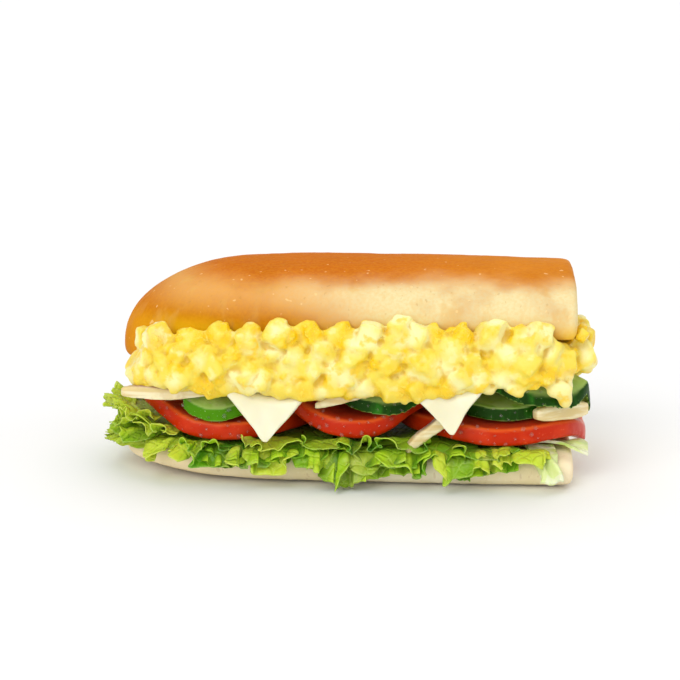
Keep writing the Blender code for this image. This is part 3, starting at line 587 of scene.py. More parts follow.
def cucumber_finish(colours):
    """Dark green skin with lighter streaks and dots and a painted highlight along its upper edge,
    pale flesh with a greener ring.
    """
    material, tree, shader, place = new_finish(
        "Cucumber", 0.35, shine=0.06, coat=0.04,
        subsurface=0.08, reach=(0.5, 1.0, 0.2), depth=2 * MM,
    )
    streaks = noise(tree, place, 210.0, 3.0, (1.0, 1.0, 0.25))
    fine = noise(tree, place, 1300.0, 2.0)
    skin = tinted(tree, colours.cucumber_skin, CUCUMBER_STREAK, streaks, 0.5, 0.72, 0.8)
    skin = mixed(tree, attribute(tree, "light"), skin, CUCUMBER_LIGHT)
    skin = tinted(tree, skin, CUCUMBER_DOT, fine, 0.68, 0.74, 0.7)
    flesh = tinted(tree, colours.cucumber_flesh, CUCUMBER_RING, attribute(tree, "out"), 0.70, 0.95)
    flesh = tinted(tree, flesh, CUCUMBER_SEEDS, streaks, 0.42, 0.6, 0.5)
    colour = mixed(tree, attribute(tree, "rim"), flesh, skin)
    # Painted highlight: a lighter line along the rim's upper edge
    colour = with_edge_highlight(tree, colour, CUCUMBER_EDGE_HIGHLIGHT, 0.75)
    normal = bumped(tree, streaks, 0.3 * MM, 0.35)
    finish_with(tree, shader, colour, normal)
    return material


def cheese_finish(colours):
    """Smooth and creamy, with faint clouds and a slight shine."""
    material, tree, shader, place = new_finish(
        "Cheese", 0.34, coat=0.1, subsurface=0.35, reach=(1.0, 0.75, 0.35), depth=3 * MM
    )
    clouds = noise(tree, place, 60.0, 2.0)
    colour = tinted(tree, colours.cheese, CHEESE_CLOUD, clouds, 0.35, 0.65)
    normal = bumped(tree, noise(tree, place, 90.0, 2.0), 0.4 * MM, 0.25)
    finish_with(tree, shader, colour, normal)
    return material


def onion_finish(colours):
    """Translucent strips with faint lengthwise fibres and a purple line along the top."""
    material, tree, shader, place = new_finish(
        "Onion", 0.32, coat=0.15, subsurface=0.35, reach=(1.0, 0.8, 0.45), depth=2 * MM
    )
    fibres = noise(tree, place, 160.0, 4.0, (0.25, 1.0, 4.0))
    wet = noise(tree, place, 240.0, 3.0)
    colour = tinted(tree, colours.onion, ONION_FIBRE, fibres, 0.4, 0.65)
    colour = tinted(tree, colour, ONION_WET, wet, 0.5, 0.66, 0.55)
    colour = tinted(tree, colour, ONION_PURPLE, attribute(tree, "top"), 0.82, 0.97, 0.75)
    normal = bumped(tree, fibres, 0.3 * MM, 0.4)
    finish_with(tree, shader, colour, normal)
    return material


def lettuce_finish(colours):
    """Bright crests as a painted highlight, deep green folds and fine veins, with a wet shine."""
    material, tree, shader, place = new_finish(
        "Lettuce", 0.38, shine=0.22, coat=0.06,
        subsurface=0.25, reach=(0.6, 1.0, 0.1), depth=1.5 * MM,
    )
    patches = noise(tree, place, 95.0, 3.0)
    cells = {"Vector": place, "Scale": 230.0}
    veins = node(tree, "ShaderNodeTexVoronoi", cells, feature="DISTANCE_TO_EDGE").outputs[0]
    colour = tinted(tree, colours.lettuce, LEAF_DARK, patches, 0.40, 0.62)
    # Painted highlight: the crests of the folds are lighter
    colour = mixed(tree, attribute(tree, "lit_crest"), colour, colours.lettuce_crest_highlight)
    colour = mixed(tree, attribute(tree, "tone"), colour, LEAF_YELLOW)
    colour = tinted(tree, colour, LEAF_PATCH, patches, 0.60, 0.72, 0.5)
    edge = attribute(tree, "outer")
    colour = tinted(tree, colour, colours.lettuce_pale, edge, 0.86, 1.0, 0.12)
    colour = tinted(tree, colour, LEAF_VEIN, veins, 0.05, 0.0, 0.25)
    normal = bumped(tree, ranged(tree, veins, 0.0, 0.16), 0.6 * MM, 0.45)
    normal = bumped(tree, noise(tree, place, 420.0, 3.0), 0.5 * MM, 0.4, normal)
    finish_with(tree, shader, colour, normal)
    return material


def pale_lettuce_finish(colours):
    """Pale green with whiter ribs along the strip."""
    material, tree, shader, place = new_finish(
        "Pale lettuce", 0.28, coat=0.2, subsurface=0.4, reach=(0.8, 1.0, 0.5), depth=2 * MM
    )
    ribs = noise(tree, place, 150.0, 3.0, (0.35, 1.6, 1.6))
    patches = noise(tree, place, 110.0, 3.0)
    colour = tinted(tree, colours.lettuce_pale, PALE_LEAF_PATCH, patches, 0.40, 0.68)
    colour = tinted(tree, colour, PALE_LEAF_RIB, ribs, 0.52, 0.62, 0.7)
    normal = bumped(tree, ribs, 0.5 * MM, 0.6)
    finish_with(tree, shader, colour, normal)
    return material


def water_finish():
    """Clear water."""
    material, _, shader, _ = new_finish("Water", 0.04)
    shader.inputs["Base Color"].default_value = (*WATER, 1.0)
    shader.inputs["IOR"].default_value = 1.33
    shader.inputs["Transmission Weight"].default_value = 0.93
    return material


# Mesh helpers


def pick(obj):
    """Makes the object the only selected one, and active."""
    bpy.ops.object.select_all(action="DESELECT")
    obj.select_set(True)
    bpy.context.view_layer.objects.active = obj


def applied(obj, kind, **settings):
    """Adds a modifier and applies it."""
    modifier = obj.modifiers.new(kind.title(), kind)
    for name, value in settings.items():
        setattr(modifier, name, value)
    pick(obj)
    bpy.ops.object.modifier_apply(modifier=modifier.name)


def refined_copy(node_name, levels=2):
    """A merged copy of a CAD node with its faces joined back into quads. Where it is subdivided,
    creases keep its sharp edges."""
    made = bpy.data.objects.new(f"{node_name}_food", frame["nodes"][node_name].data.copy())
    bpy.context.scene.collection.objects.link(made)
    made.data.materials.clear()
    pick(made)
    bpy.ops.mesh.customdata_custom_splitnormals_clear()
    bpy.ops.object.mode_set(mode="EDIT")
    bpy.ops.mesh.select_all(action="SELECT")
    bpy.ops.mesh.remove_doubles(threshold=MERGE)
    bpy.ops.mesh.tris_convert_to_quads(face_threshold=SHARP, shape_threshold=SHARP)
    bpy.ops.object.mode_set(mode="OBJECT")
    if levels:
        crease_sharp_edges(made)
        subdivided(made, levels)
    return made


def crease_sharp_edges(obj):
    """Creases each sharp edge, so that subdivision keeps the outline."""
    pick(obj)
    bpy.ops.object.mode_set(mode="EDIT")
    bpy.ops.mesh.select_mode(type="EDGE")
    bpy.ops.mesh.select_all(action="DESELECT")
    bpy.ops.mesh.edges_select_sharp(sharpness=SHARP)
    bpy.ops.transform.edge_crease(value=1.0)
    bpy.ops.object.mode_set(mode="OBJECT")


def subdivided(obj, levels):
    """Subdivides the piece smoothly."""
    applied(obj, "SUBSURF", levels=levels, render_levels=levels, use_limit_surface=False)


def remeshed(obj, voxel, smoothing):
    """Makes the piece one even skin, smoothed this many times."""
    applied(obj, "REMESH", mode="VOXEL", voxel_size=voxel, adaptivity=0.0)
    applied(obj, "SMOOTH", factor=0.5, iterations=smoothing)


def dented(obj, name, size, depth):
    """Uneven all over: clouds of this size push the surface in and out by this depth."""
    clouds = bpy.data.textures.new(name, "CLOUDS")
    clouds.noise_scale = size
    clouds.noise_depth = 2
    applied(
        obj, "DISPLACE", texture=clouds, texture_coords="LOCAL", strength=2 * depth, mid_level=0.5
    )


def points_of(mesh):
    """The mesh's points, one row each."""
    points = np.empty(len(mesh.vertices) * 3)
    mesh.vertices.foreach_get("co", points)
    return points.reshape(-1, 3)


def normals_of(mesh):
    """The mesh's normals, one row for each point."""
    normals = np.empty(len(mesh.vertices) * 3)
    mesh.vertex_normals.foreach_get("vector", normals)
    return normals.reshape(-1, 3)


def move_points(mesh, points):
    """Moves the mesh's points to these places."""
    mesh.vertices.foreach_set("co", points.ravel())
    mesh.update()


def write_attribute(mesh, name, values):
    """One number for each point, which a finish reads by this name."""
    layer = mesh.attributes.new(name, "FLOAT", "POINT")
    layer.data.foreach_set("value", np.asarray(values, dtype=np.float32))


def finished(obj, material, slot="", *nodes):
    """Gives the piece its finish and hides the nodes that it stands for. The slot is not used."""
    obj.data.materials.clear()
    obj.data.materials.append(material)
    pick(obj)
    bpy.ops.object.shade_smooth()
    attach(obj, "root")
    if nodes:
        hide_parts(*nodes)


def smooth_step(values, start, end):
    """From 0 to 1 as the values go from start to end, without a corner."""
    share = np.clip((values - start) / (end - start), 0.0, 1.0)
    return share * share * (3 - 2 * share)


def past_outline(x, y):
    """Distance outside the loaf's outline, seen from above, and the outward direction."""
    along = np.where(x < NOSE_CENTRE_X, x - NOSE_CENTRE_X, 0.0)
    reach = np.hypot(along, y)
    safe = np.maximum(reach, 1e-9)
    return reach - LOAF_HALF_WIDTH, along / safe, y / safe


def distances(line):
    """How far along the line each of its points is."""
    return np.concatenate([[0], np.cumsum(np.linalg.norm(np.diff(line, axis=0), axis=1))])


def at(along, walked, rows):
    """The place or direction, x and y, at a distance along a line."""
    return [np.interp(along, walked, rows[:, axis]) for axis in (0, 1)]


# Food


def make_bread(material, node_name, slot, sizes):
    """Half of the bread, with soft dents and a fine grain, and a flat underside."""
    made = refined_copy(node_name)
    remeshed(made, 1.0 * MM, 8)
    dented(made, f"{node_name} dents", 16 * MM, 0.6 * sizes.bread_dents)
    dented(made, f"{node_name} grain", 2.6 * MM, 0.16 * sizes.bread_dents)
    points = points_of(made.data)
    points[:, 2] = np.maximum(points[:, 2], 0.0)
    move_points(made.data, points)
    finished(made, material, slot, node_name)


def make_slice(material, node_name, slot, voxel, dents, light):
    """A round slice. The mesh keeps its rim and how far each point is from its middle."""
    made = refined_copy(node_name)
    remeshed(made, voxel, 5)
    dented(made, f"{node_name} dents", 9 * MM, dents)
    low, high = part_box(node_name)
    points, normals = points_of(made.data), normals_of(made.data)
    radius = (high.y - low.y) / 2
    middle_x, middle_y = high.x - radius, (low.y + high.y) / 2
    out = np.hypot(points[:, 0] - middle_x, points[:, 1] - middle_y) / radius
    upward = normals[:, 2]
    upright = 1 - smooth_step(np.abs(upward), 0.55, 0.85)
    rounded = smooth_step(upward, 0.20, 0.55) * (1 - smooth_step(upward, 0.75, 0.95))
    write_attribute(made.data, "rim", upright * smooth_step(out, *RIM))
    # Where the rim turns up at its upper edge; the finishes paint a highlight there
    write_attribute(made.data, "upper_edge_highlight", rounded * smooth_step(out, *RIM))
    write_attribute(made.data, "out", out)
    write_attribute(made.data, "light", np.full(len(points), light))
    finished(made, material, slot, node_name)


def make_cheese(material, node_name):
    """A slice of cheese whose hanging corners have sides that curve inwards."""
    made = refined_copy(node_name)
    remeshed(made, 0.5 * MM, 4)
    points = points_of(made.data)
    for side in (-1, 1):
        hanging = (side * points[:, 1] > CHEESE_HANG_Y) & (points[:, 2] < CHEESE_HANG_Z)
        tip = points[np.where(hanging, points[:, 2], 1.0).argmin()]
        share = np.clip((CHEESE_HANG_Z - points[:, 2]) / (CHEESE_HANG_Z - tip[2]), 0.0, 1.0)
        pull = hanging * np.sin(math.pi * share) * np.sign(points[:, 0] - tip[0])
        beside = smooth_step(np.abs(points[:, 0] - tip[0]), 0.0, CHEESE_TIP)
        points[:, 0] -= CHEESE_CURVE * pull * beside
    move_points(made.data, points)
    dented(made, f"{node_name} dents", 14 * MM, 0.5 * MM)
    finished(made, material, "cheese", node_name)


def make_onion(material, node_name):
    """A strip of onion, thinner towards its right end, with a wavy upper edge."""
    made = refined_copy(node_name)
    remeshed(made, 0.35 * MM, 9)
    swell = ONION_SWELLS.get(node_name, ONION_SWELL)
    applied(made, "DISPLACE", strength=swell, mid_level=0.0)
    dented(made, f"{node_name} dents", 5 * MM, 0.3 * MM)
    points = points_of(made.data)
    slope = np.polyfit(points[:, 0], points[:, 2], 1)
    above = points[:, 2] - np.polyval(slope, points[:, 0])
    share = np.interp(points[:, 0], (points[:, 0].min(), points[:, 0].max()), (0.0, 1.0))
    taper = ONION_TAPERS.get(node_name, ONION_TAPER)
    points[:, 2] -= above * taper * smooth_step(share, 0.35, 1.05)
    points[:, 2] += np.where(above > 0, 0.35 * MM * np.sin(9 * share), 0.0) * above / above.max()
    move_points(made.data, points)
    write_attribute(made.data, "top", (above - above.min()) / (above.max() - above.min()))
    finished(made, material, "onion", node_name)


def make_leaf(material, node_name, fall, seed, sizes):
    """A leaf with folds and small frills that grow towards its edge."""
    made = refined_copy(node_name, 3)
    points = points_of(made.data)
    rng = np.random.default_rng(seed)
    out, out_x, out_y = past_outline(points[:, 0], points[:, 1])
    beyond = out + LEAF_START
    along = points[:, 0] * np.abs(out_y) - points[:, 1] * out_x
    side = np.where(points[:, 1] > 0, LEAF_BACK_SHIFT, 0.0)
    wander = rng.uniform(0, math.tau, 6)

    def wave(length, shift):
        bend = 0.9 * np.sin(math.tau * along / (3.1 * length) + wander[shift] + side)
        return np.sin(math.tau * along / length + wander[shift + 1] + bend + side)

    grow = smooth_step(beyond, -0.5 * MM, 7 * MM)
    edge = smooth_step(beyond, 4 * MM, 11 * MM)
    large, small = wave(LEAF_FOLD, 0), wave(LEAF_RUFFLE, 2)
    folds = sizes.frill * (grow * large + 0.45 * edge * small)
    crossed = 0.9 * grow * large * wave(LEAF_CROSS_FOLD, 4)
    across = sizes.frill * (crossed + 0.3 * edge * small)
    teeth = LEAF_TOOTH_DEPTH * edge * (small + 0.5 * wave(LEAF_TOOTH, 3))
    sine, cosine = math.sin(fall), math.cos(fall)
    lift = LEAF_LIFTS.get(node_name, 0.0) * np.maximum(LEAF_RIM - points[:, 2], 0.0)
    points[:, 0] += out_x * (folds * sine + teeth * cosine) - out_y * across
    points[:, 1] += out_y * (folds * sine + teeth * cosine) + out_x * across
    points[:, 2] += folds * cosine - teeth * sine + lift
    move_points(made.data, points)
    # Where a fold rises the finish paints it lighter: a painted highlight on the crests
    write_attribute(made.data, "lit_crest", smooth_step(folds / sizes.frill, -0.4, 1.1) * grow)
    write_attribute(made.data, "outer", edge)
    tone = LEAF_TONES.get(node_name, LEAF_TONE)
    write_attribute(made.data, "tone", np.full(len(points), tone))
    finished(made, material, "lettuce", node_name)


def loaf_half_width(x):
    """Half the bread's width at places along it."""
    into = np.clip((x + LOAF_HALF_LENGTH) / NOSE_LENGTH, 0.0, 1.0)
    blunt = 1 - (NOSE_TIP_HALF_WIDTH / LOAF_HALF_WIDTH) ** 2
    return LOAF_HALF_WIDTH * np.sqrt(1 - blunt * (1 - into) ** 2)


def outline_walk():
    """The loaf's outline seen from above, from the cut end's front corner round the nose to the
    back: the distance walked, the place and the outward direction."""
    straight = np.linspace(LOAF_HALF_LENGTH, NOSE_LENGTH - LOAF_HALF_LENGTH, 200)
    nose = np.linspace(NOSE_LENGTH - LOAF_HALF_LENGTH, -LOAF_HALF_LENGTH, 300)[1:]
    x = np.concatenate([straight, nose])
    front = np.stack([x, -loaf_half_width(x)], axis=1)
    tip_y = np.linspace(front[-1, 1], -front[-1, 1], 22)[1:-1]
    tip = np.stack([np.full(len(tip_y), -LOAF_HALF_LENGTH), tip_y], axis=1)
    line = np.concatenate([front, tip, front[::-1] * (1, -1)])
    walked = distances(line)
    even = np.linspace(0, walked[-1], 400)
    line = np.stack(at(even, walked, line), axis=1)
    step = np.gradient(line, axis=0)
    for _ in range(30):
        step[1:-1] = (step[:-2] + step[1:-1] + step[2:]) / 3
    step /= np.linalg.norm(step, axis=1)[:, None]
    return even, line, np.stack([-step[:, 1], step[:, 0]], axis=1)


def make_frill(material, name, spec, seed, back):
    """A piece of curly leaf edge that comes out between the bread and the slices."""
    *lengths, fall, tone = spec
    start, end, rim_z, reach, depth = (length * MM for length in lengths)
    rng = np.random.default_rng(seed)
    columns, rows = FRILL_GRID
    bpy.ops.mesh.primitive_grid_add(x_subdivisions=columns, y_subdivisions=rows, size=1.0)
    made = bpy.context.object
    made.name = name
    points = points_of(made.data)
    a, b = points[:, 0] + 0.5, points[:, 1] + 0.5
    walked, line, outward = outline_walk()
    if back:
        start, end = walked[-1] - end, walked[-1] - start
    along = start + (end - start) * a
    wander = rng.uniform(0, math.tau, 10)

    # large folds, fine ones on them, and a ragged outer edge
    turns = (end - start) / rng.uniform(*FRILL_FOLD)
    phase = math.tau * turns * a + 1.3 * np.sin(math.tau * 1.3 * a + wander[0]) + wander[1]
    fine = 2.4 * phase + 1.5 * np.sin(1.7 * phase + wander[2]) + wander[3]
    ends = smooth_step(a, 0.0, 0.22) * smooth_step(1 - a, 0.0, 0.22)
    lobes = 1 + 0.22 * np.sin(0.63 * phase + wander[4]) + 0.08 * np.sin(fine + wander[5])
    past = (reach * (0.35 + 0.65 * ends) * lobes + FRILL_ROOT) * b - FRILL_ROOT
    lift = depth * b * (np.sin(phase) + 0.4 * b * np.sin(fine))
    aside = -depth * b * (0.55 * np.sin(2 * phase) + 0.3 * b * np.cos(fine))

    # the edge bends down and its tip curls up
    bend = fall * smooth_step(past, -1.0 * MM, 6.0 * MM)
    bend *= 1 + 0.3 * np.sin(0.7 * phase + wander[6])
    curl = smooth_step(b, 0.62, 1.0) * (0.5 + 0.5 * np.sin(0.9 * phase + wander[7]))
    out = past * np.cos(0.5 * bend) + lift * np.sin(bend) - 0.16 * reach * curl
    up = -1.35 * np.maximum(past, 0) * np.sin(0.5 * bend) + lift * np.cos(bend)
    up += 0.2 * reach * curl + 0.4 * depth * (1 - b) * np.sin(0.8 * phase + wander[8])
    place, way = at(along + aside, walked, line), at(along + aside, walked, outward)
    for axis in (0, 1):
        points[:, axis] = place[axis] + out * way[axis]
    points[:, 2] = np.maximum(rim_z + up, FRILL_LOWEST)
    move_points(made.data, points)
    dented(made, f"{name} crinkles", 3.6 * MM, 0.55 * MM)
    # Where the folds rise the finish paints them lighter: a painted highlight on the crests
    lit_crest = smooth_step(np.sin(phase) + 0.5 * np.sin(fine), -0.6, 1.3) * smooth_step(b, 0.05, 0.5)
    write_attribute(made.data, "lit_crest", lit_crest)
    write_attribute(made.data, "outer", smooth_step(b, 0.7, 1.0))
    write_attribute(made.data, "tone", np.clip(tone + 0.3 * np.sin(0.8 * phase + wander[9]), 0, 1))
    applied(made, "SOLIDIFY", thickness=FRILL_THICKNESS, offset=0.0)
    finished(made, material, "lettuce")


def make_shred(material, node_name):
    """A strip of pale leaf, with ribs along it and a crinkled edge."""
    made = refined_copy(node_name, 3)
    low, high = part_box(node_name)
    points = points_of(made.data)
    out = np.maximum(np.abs(points[:, 1]) - LOAF_HALF_WIDTH, points[:, 0] - LOAF_HALF_LENGTH)
    grow = smooth_step(out, -SHOWN_DEPTH, 3 * MM)
    sideways = high.x - low.x < high.y - low.y
    across, along = (points[:, 0], points[:, 1]) if sideways else (points[:, 1], points[:, 0])
    bend = 1.5 * np.sin(along / (3 * MM))
    ripple = np.sin(math.tau * across / SHRED_RIPPLE + bend)
    points[:, 2] += SHRED_RIPPLE_DEPTH * grow * ripple
    points[:, 1] += np.sign(points[:, 1]) * SHRED_EDGE_DEPTH * grow * ripple
    points[:, 0] += SHRED_EDGE_DEPTH * grow * np.sin(along / SHRED_EDGE)
    if not sideways:
        middle = abs(low.y + high.y) / 2
        points[:, 2] += SHRED_TILT * grow * (middle - np.abs(points[:, 1]))
    points[:, 2] = np.maximum(points[:, 2], SHRED_LOWEST)
    move_points(made.data, points)
    dented(made, f"{node_name} dents", 4 * MM, 0.4 * MM)
    finished(made, material, "pale_lettuce", node_name)


def shape_of(obj):
    """The points and triangles of an object, which is then removed."""
    obj.data.calc_loop_triangles()
    corners = np.empty(len(obj.data.loop_triangles) * 3, np.int64)
    obj.data.loop_triangles.foreach_get("vertices", corners)
    shape = points_of(obj.data), corners.reshape(-1, 3)
    bpy.data.objects.remove(obj)
    return shape


def cube_shape():
    """A cube with softened edges, one metre wide."""
    bpy.ops.mesh.primitive_cube_add(size=1.0)
    bpy.ops.object.mode_set(mode="EDIT")
    bpy.ops.mesh.bevel(offset=0.14, segments=2, affect="EDGES")
    bpy.ops.object.mode_set(mode="OBJECT")
    return shape_of(bpy.context.object)


def ball_shape():
    """A ball, one metre wide."""
    bpy.ops.mesh.primitive_ico_sphere_add(subdivisions=2, radius=0.5)
    return shape_of(bpy.context.object)


def drop_shape():
    """A smoother ball, one metre wide."""
    bpy.ops.mesh.primitive_uv_sphere_add(segments=14, ring_count=9, radius=0.5)
    return shape_of(bpy.context.object)


def spread_over(points, keep, spacing, rng):
    """Points out of those to keep, in random order, no two closer than the spacing."""
    order = np.flatnonzero(keep)
    rng.shuffle(order)
    cells, chosen = {}, []
    for index in order:
        cell = tuple(np.floor(points[index] / spacing).astype(int))
        near = (
            other
            for dx in (-1, 0, 1) for dy in (-1, 0, 1) for dz in (-1, 0, 1)
            for other in cells.get((cell[0] + dx, cell[1] + dy, cell[2] + dz), ())
        )
        if all(np.linalg.norm(points[index] - points[other]) >= spacing for other in near):
            cells.setdefault(cell, []).append(index)
            chosen.append(index)
    return chosen


def egg_walk():
    """The egg salad's outline seen from above: distance walked, place and outward direction."""
    line, outward = [], []
    for x, y, start in (
        (EGG_LEFT + EGG_CORNER, EGG_CORNER - EGG_HALF_WIDTH, 180),
        (EGG_RIGHT - EGG_CORNER, EGG_CORNER - EGG_HALF_WIDTH, 270),
        (EGG_RIGHT - EGG_CORNER, EGG_HALF_WIDTH - EGG_CORNER, 0),
        (EGG_LEFT + EGG_CORNER, EGG_HALF_WIDTH - EGG_CORNER, 90),
        (EGG_LEFT + EGG_CORNER, EGG_CORNER - EGG_HALF_WIDTH, 180),
    ):
        for degrees in range(start, start + 91, 10):
            way = (math.cos(math.radians(degrees)), math.sin(math.radians(degrees)))
            line.append((x + EGG_CORNER * way[0], y + EGG_CORNER * way[1]))
            outward.append(way)
    line, outward = np.array(line), np.array(outward)
    return distances(line), line, outward


def facing(way, rng):
    """A turn that points one side of a lump roughly this way."""
    tilt = Euler((rng.uniform(-0.45, 0.45), rng.uniform(-0.45, 0.45), rng.uniform(0, math.tau)))
    return Vector(way).to_track_quat("Z", "Y").to_matrix() @ tilt.to_matrix()


def sunk_lumps(points, normals, shown, cube, ball, sizes, rng):
    """Lumps half sunk into the core."""
    widths = {WHITE: sizes.egg_white, YOLK: sizes.yolk, DRESSING: 0.8 * sizes.egg_white}
    for index in spread_over(points, shown, sizes.lump_spacing, rng):
        kind = rng.choice(KINDS, p=SUNK_SHARES)
        shape = cube if kind == WHITE or rng.random() < 0.4 else ball
        size = widths[kind] * rng.uniform(0.7, 1.15)
        centre = points[index] - normals[index] * size * rng.uniform(0.24, 0.40)
        turn = facing(normals[index], rng)
        yield Lump(shape, size, rng.uniform(0.8, 1.2, 3), turn, centre, kind)


def crumbs_between(points, normals, shown, whites, ball, sizes, rng):
    """Crumbs of yolk and dressing on the core, clear of the whites."""
    for index in spread_over(points, shown, sizes.crumb_spacing, rng):
        nearest = min(np.linalg.norm(points[index] - white.centre) for white in whites)
        if nearest < 0.55 * sizes.egg_white or rng.random() < 0.55:
            continue
        size = rng.uniform(1.5, 3.0) * MM
        centre = points[index] + normals[index] * 0.05 * size
        turn = facing(normals[index], rng)
        stretch = rng.uniform(0.7, 1.3, 3)
        kind = YOLK if rng.random() < YOLK_CRUMBS else DRESSING
        yield Lump(ball, size, stretch, turn, centre, kind)


def hanging_lumps(cube, ball, rng):
    """Rows of lumps above the hem, all round but for the cut end."""
    walked, line, outward = egg_walk()
    for row, gap in enumerate(HANGING_GAPS):
        for along in np.arange(0, walked[-1], gap):
            size = rng.uniform(4.4, 7.6) * MM
            out = rng.uniform(3.6, 6.0) * MM
            place, way = at(along, walked, line), at(along, walked, outward)
            x, y = place[0] + out * way[0], place[1] + out * way[1]
            if x > EGG_RIGHT:
                continue
            above = (HANGING_ROW * row + rng.uniform(-0.6, 1.8)) * MM
            centre = np.array([x, y, np.interp(x, *EGG_HEM) + size / 2 + above])
            kind = rng.choice(KINDS, p=HANGING_SHARES)
            turn = facing((*outward[np.searchsorted(walked, along) - 1], 0), rng)
            shape = cube if rng.random() < 0.5 else ball
            yield Lump(shape, size, rng.uniform(0.8, 1.2, 3), turn, centre, kind)


def chopped_egg(core, sizes, rng):
    """All the pieces that go on the core."""
    points, normals = points_of(core.data), normals_of(core.data)
    out, _, _ = past_outline(points[:, 0], points[:, 1])
    shown = np.maximum(out, points[:, 0] - LOAF_HALF_LENGTH) > -SHOWN_DEPTH
    cube, ball = cube_shape(), ball_shape()
    lumps = list(sunk_lumps(points, normals, shown, cube, ball, sizes, rng))
    whites = [lump for lump in lumps if lump.kind == WHITE]
    lumps += crumbs_between(points, normals, shown, whites, ball, sizes, rng)
    lumps += hanging_lumps(cube, ball, rng)
    for centre, width, stretch in DRIP:
        lumps.append(Lump(ball, width * MM, stretch, np.eye(3), MM * np.array(centre), WHITE))
    return lumps


def joined_mesh(name, lumps):
    """One mesh of all the lumps, each stretched, turned and put in its place."""
    points, faces, count = [], [], 0
    for lump in lumps:
        shape_points, shape_faces = lump.shape
        sized = shape_points * lump.size * lump.stretch
        points.append(sized @ np.array(lump.turn).T + lump.centre)
        faces.append(shape_faces + count)
        count += len(shape_points)
    mesh = bpy.data.meshes.new(name)
    mesh.from_pydata(np.concatenate(points).tolist(), [], np.concatenate(faces).tolist())
    return mesh


def make_egg_salad(material, sizes, colours):
    """Chopped egg fused to the heap's core, kept to the heap's form."""
    rng = np.random.default_rng(11)
    core = refined_copy("egg_salad", 0)
    remeshed(core, 0.8 * MM, 8)
    points = points_of(core.data)
    roof = EGG_END_TOP - EGG_END_SLOPE * points[:, 1]
    past = smooth_step(points[:, 0], *EGG_CUT)
    points[:, 2] -= past * np.maximum(points[:, 2] - roof, 0.0)
    move_points(core.data, points)
    lumps = chopped_egg(core, sizes, rng)
    chopped = bpy.data.objects.new("lumps", joined_mesh("lumps", lumps))
    bpy.context.scene.collection.objects.link(chopped)
    pick(core)
    chopped.select_set(True)
    bpy.ops.object.join()

    # thickened while coarse and thinned when fine, so that the dressing fills the corners
    remeshed(core, 0.5 * MM, 2)
    applied(core, "DISPLACE", strength=0.55 * MM, mid_level=0.0)
    remeshed(core, 0.42 * MM, 3)
    applied(core, "DISPLACE", strength=-0.45 * MM, mid_level=0.0)
    applied(core, "SMOOTH", factor=0.5, iterations=2)
    dented(core, "egg lumps", 5 * MM, 0.5 * MM)
    dented(core, "egg grain", 1.8 * MM, 0.18 * MM)
    points = points_of(core.data)
    for axis, start in ((0, EGG_END), (2, EGG_TOP)):
        points[:, axis] -= EGG_SQUEEZE * np.maximum(points[:, axis] - start, 0.0)
    draw = EGG_LOW_DRAW + EGG_LIP_DRAW * smooth_step(points[:, 2], *EGG_LIP_Z)
    points[:, 0] += draw * np.maximum(EGG_START - points[:, 0], 0.0)
    move_points(core.data, points)
    applied(core, "DECIMATE", ratio=min(1.0, EGG_TRIANGLES / (2 * len(core.data.polygons))))
    tint_lumps(core.data, lumps, colours)
    mark_hollows_for_shade(core)
    finished(core, material, "egg", "egg_salad")


def tint_lumps(mesh, lumps, colours):
    """Each point takes the tint of the chopped piece that it is in, blurred where they meet."""
    tree = KDTree(len(lumps))
    for index, lump in enumerate(lumps):
        tree.insert(lump.centre, index)
    tree.balance()
    tints = np.array([colours.egg_white[:], colours.yolk[:], colours.dressing[:]])
    points = points_of(mesh)
    values = np.ones((len(points), 4), np.float32)
    yolk = np.zeros(len(points))
    for row, point in enumerate(points):
        weights = np.zeros(3)
        for _, index, distance in tree.find_n(point, 5):
            lump = lumps[index]
            weights[lump.kind] += math.exp(-((distance / (0.6 * lump.size)) ** 5))
        weights[DRESSING] += max(0.0, 0.5 - weights.sum()) + 0.02
        weights /= weights.sum()
        values[row, :3] = weights @ tints
        yolk[row] = weights[YOLK]
    layer = mesh.attributes.new("tint", "FLOAT_COLOR", "POINT")
    layer.data.foreach_set("color", values.ravel())
    write_attribute(mesh, "yolk", yolk)


def mark_hollows_for_shade(obj):
    """Keeps how deep each point lies in a hollow, against the same surface smoothed, for the
    painted shade in the hollows.
    """
    smooth = obj.copy()
    smooth.data = obj.data.copy()
    bpy.context.scene.collection.objects.link(smooth)
    applied(smooth, "SMOOTH", factor=0.5, iterations=40)
    points, normals = points_of(obj.data), normals_of(obj.data)
    depth = ((points_of(smooth.data) - points) * normals).sum(axis=1)
    bpy.data.objects.remove(smooth)
    write_attribute(obj.data, "hollow", smooth_step(depth, 0.05 * MM, 0.7 * MM))


def make_drops(material, name, node_names, count, seed, sizes):
    """Small drops of water on what shows of these slices."""
    rng = np.random.default_rng(seed)
    shape = drop_shape()
    drops = []
    for node_name in node_names:
        mesh = bpy.data.objects[f"{node_name}_food"].data
        points, normals = points_of(mesh), normals_of(mesh)
        out, _, _ = past_outline(points[:, 0], points[:, 1])
        shown = (out > -SHOWN_DEPTH) & (normals[:, 2] > -0.3) & (normals[:, 2] < 0.9)
        for index in spread_over(points, shown, sizes.drop_spacing, rng)[:count]:
            size = sizes.drop * rng.uniform(0.4, 1.0) ** 1.5
            turn = facing(normals[index], rng)
            stretch = (1.0, rng.uniform(0.8, 1.3), 0.9)
            centre = points[index] + normals[index] * 0.08 * size
            drops.append(Lump(shape, size, stretch, turn, centre))
    made = bpy.data.objects.new(name, joined_mesh(name, drops))
    bpy.context.scene.collection.objects.link(made)
    finished(made, material)


# Stage


def aimed(obj, target):
    """Turns a light or camera towards the target."""
    obj.rotation_euler = (target - obj.location).to_track_quat("-Z", "Y").to_euler()


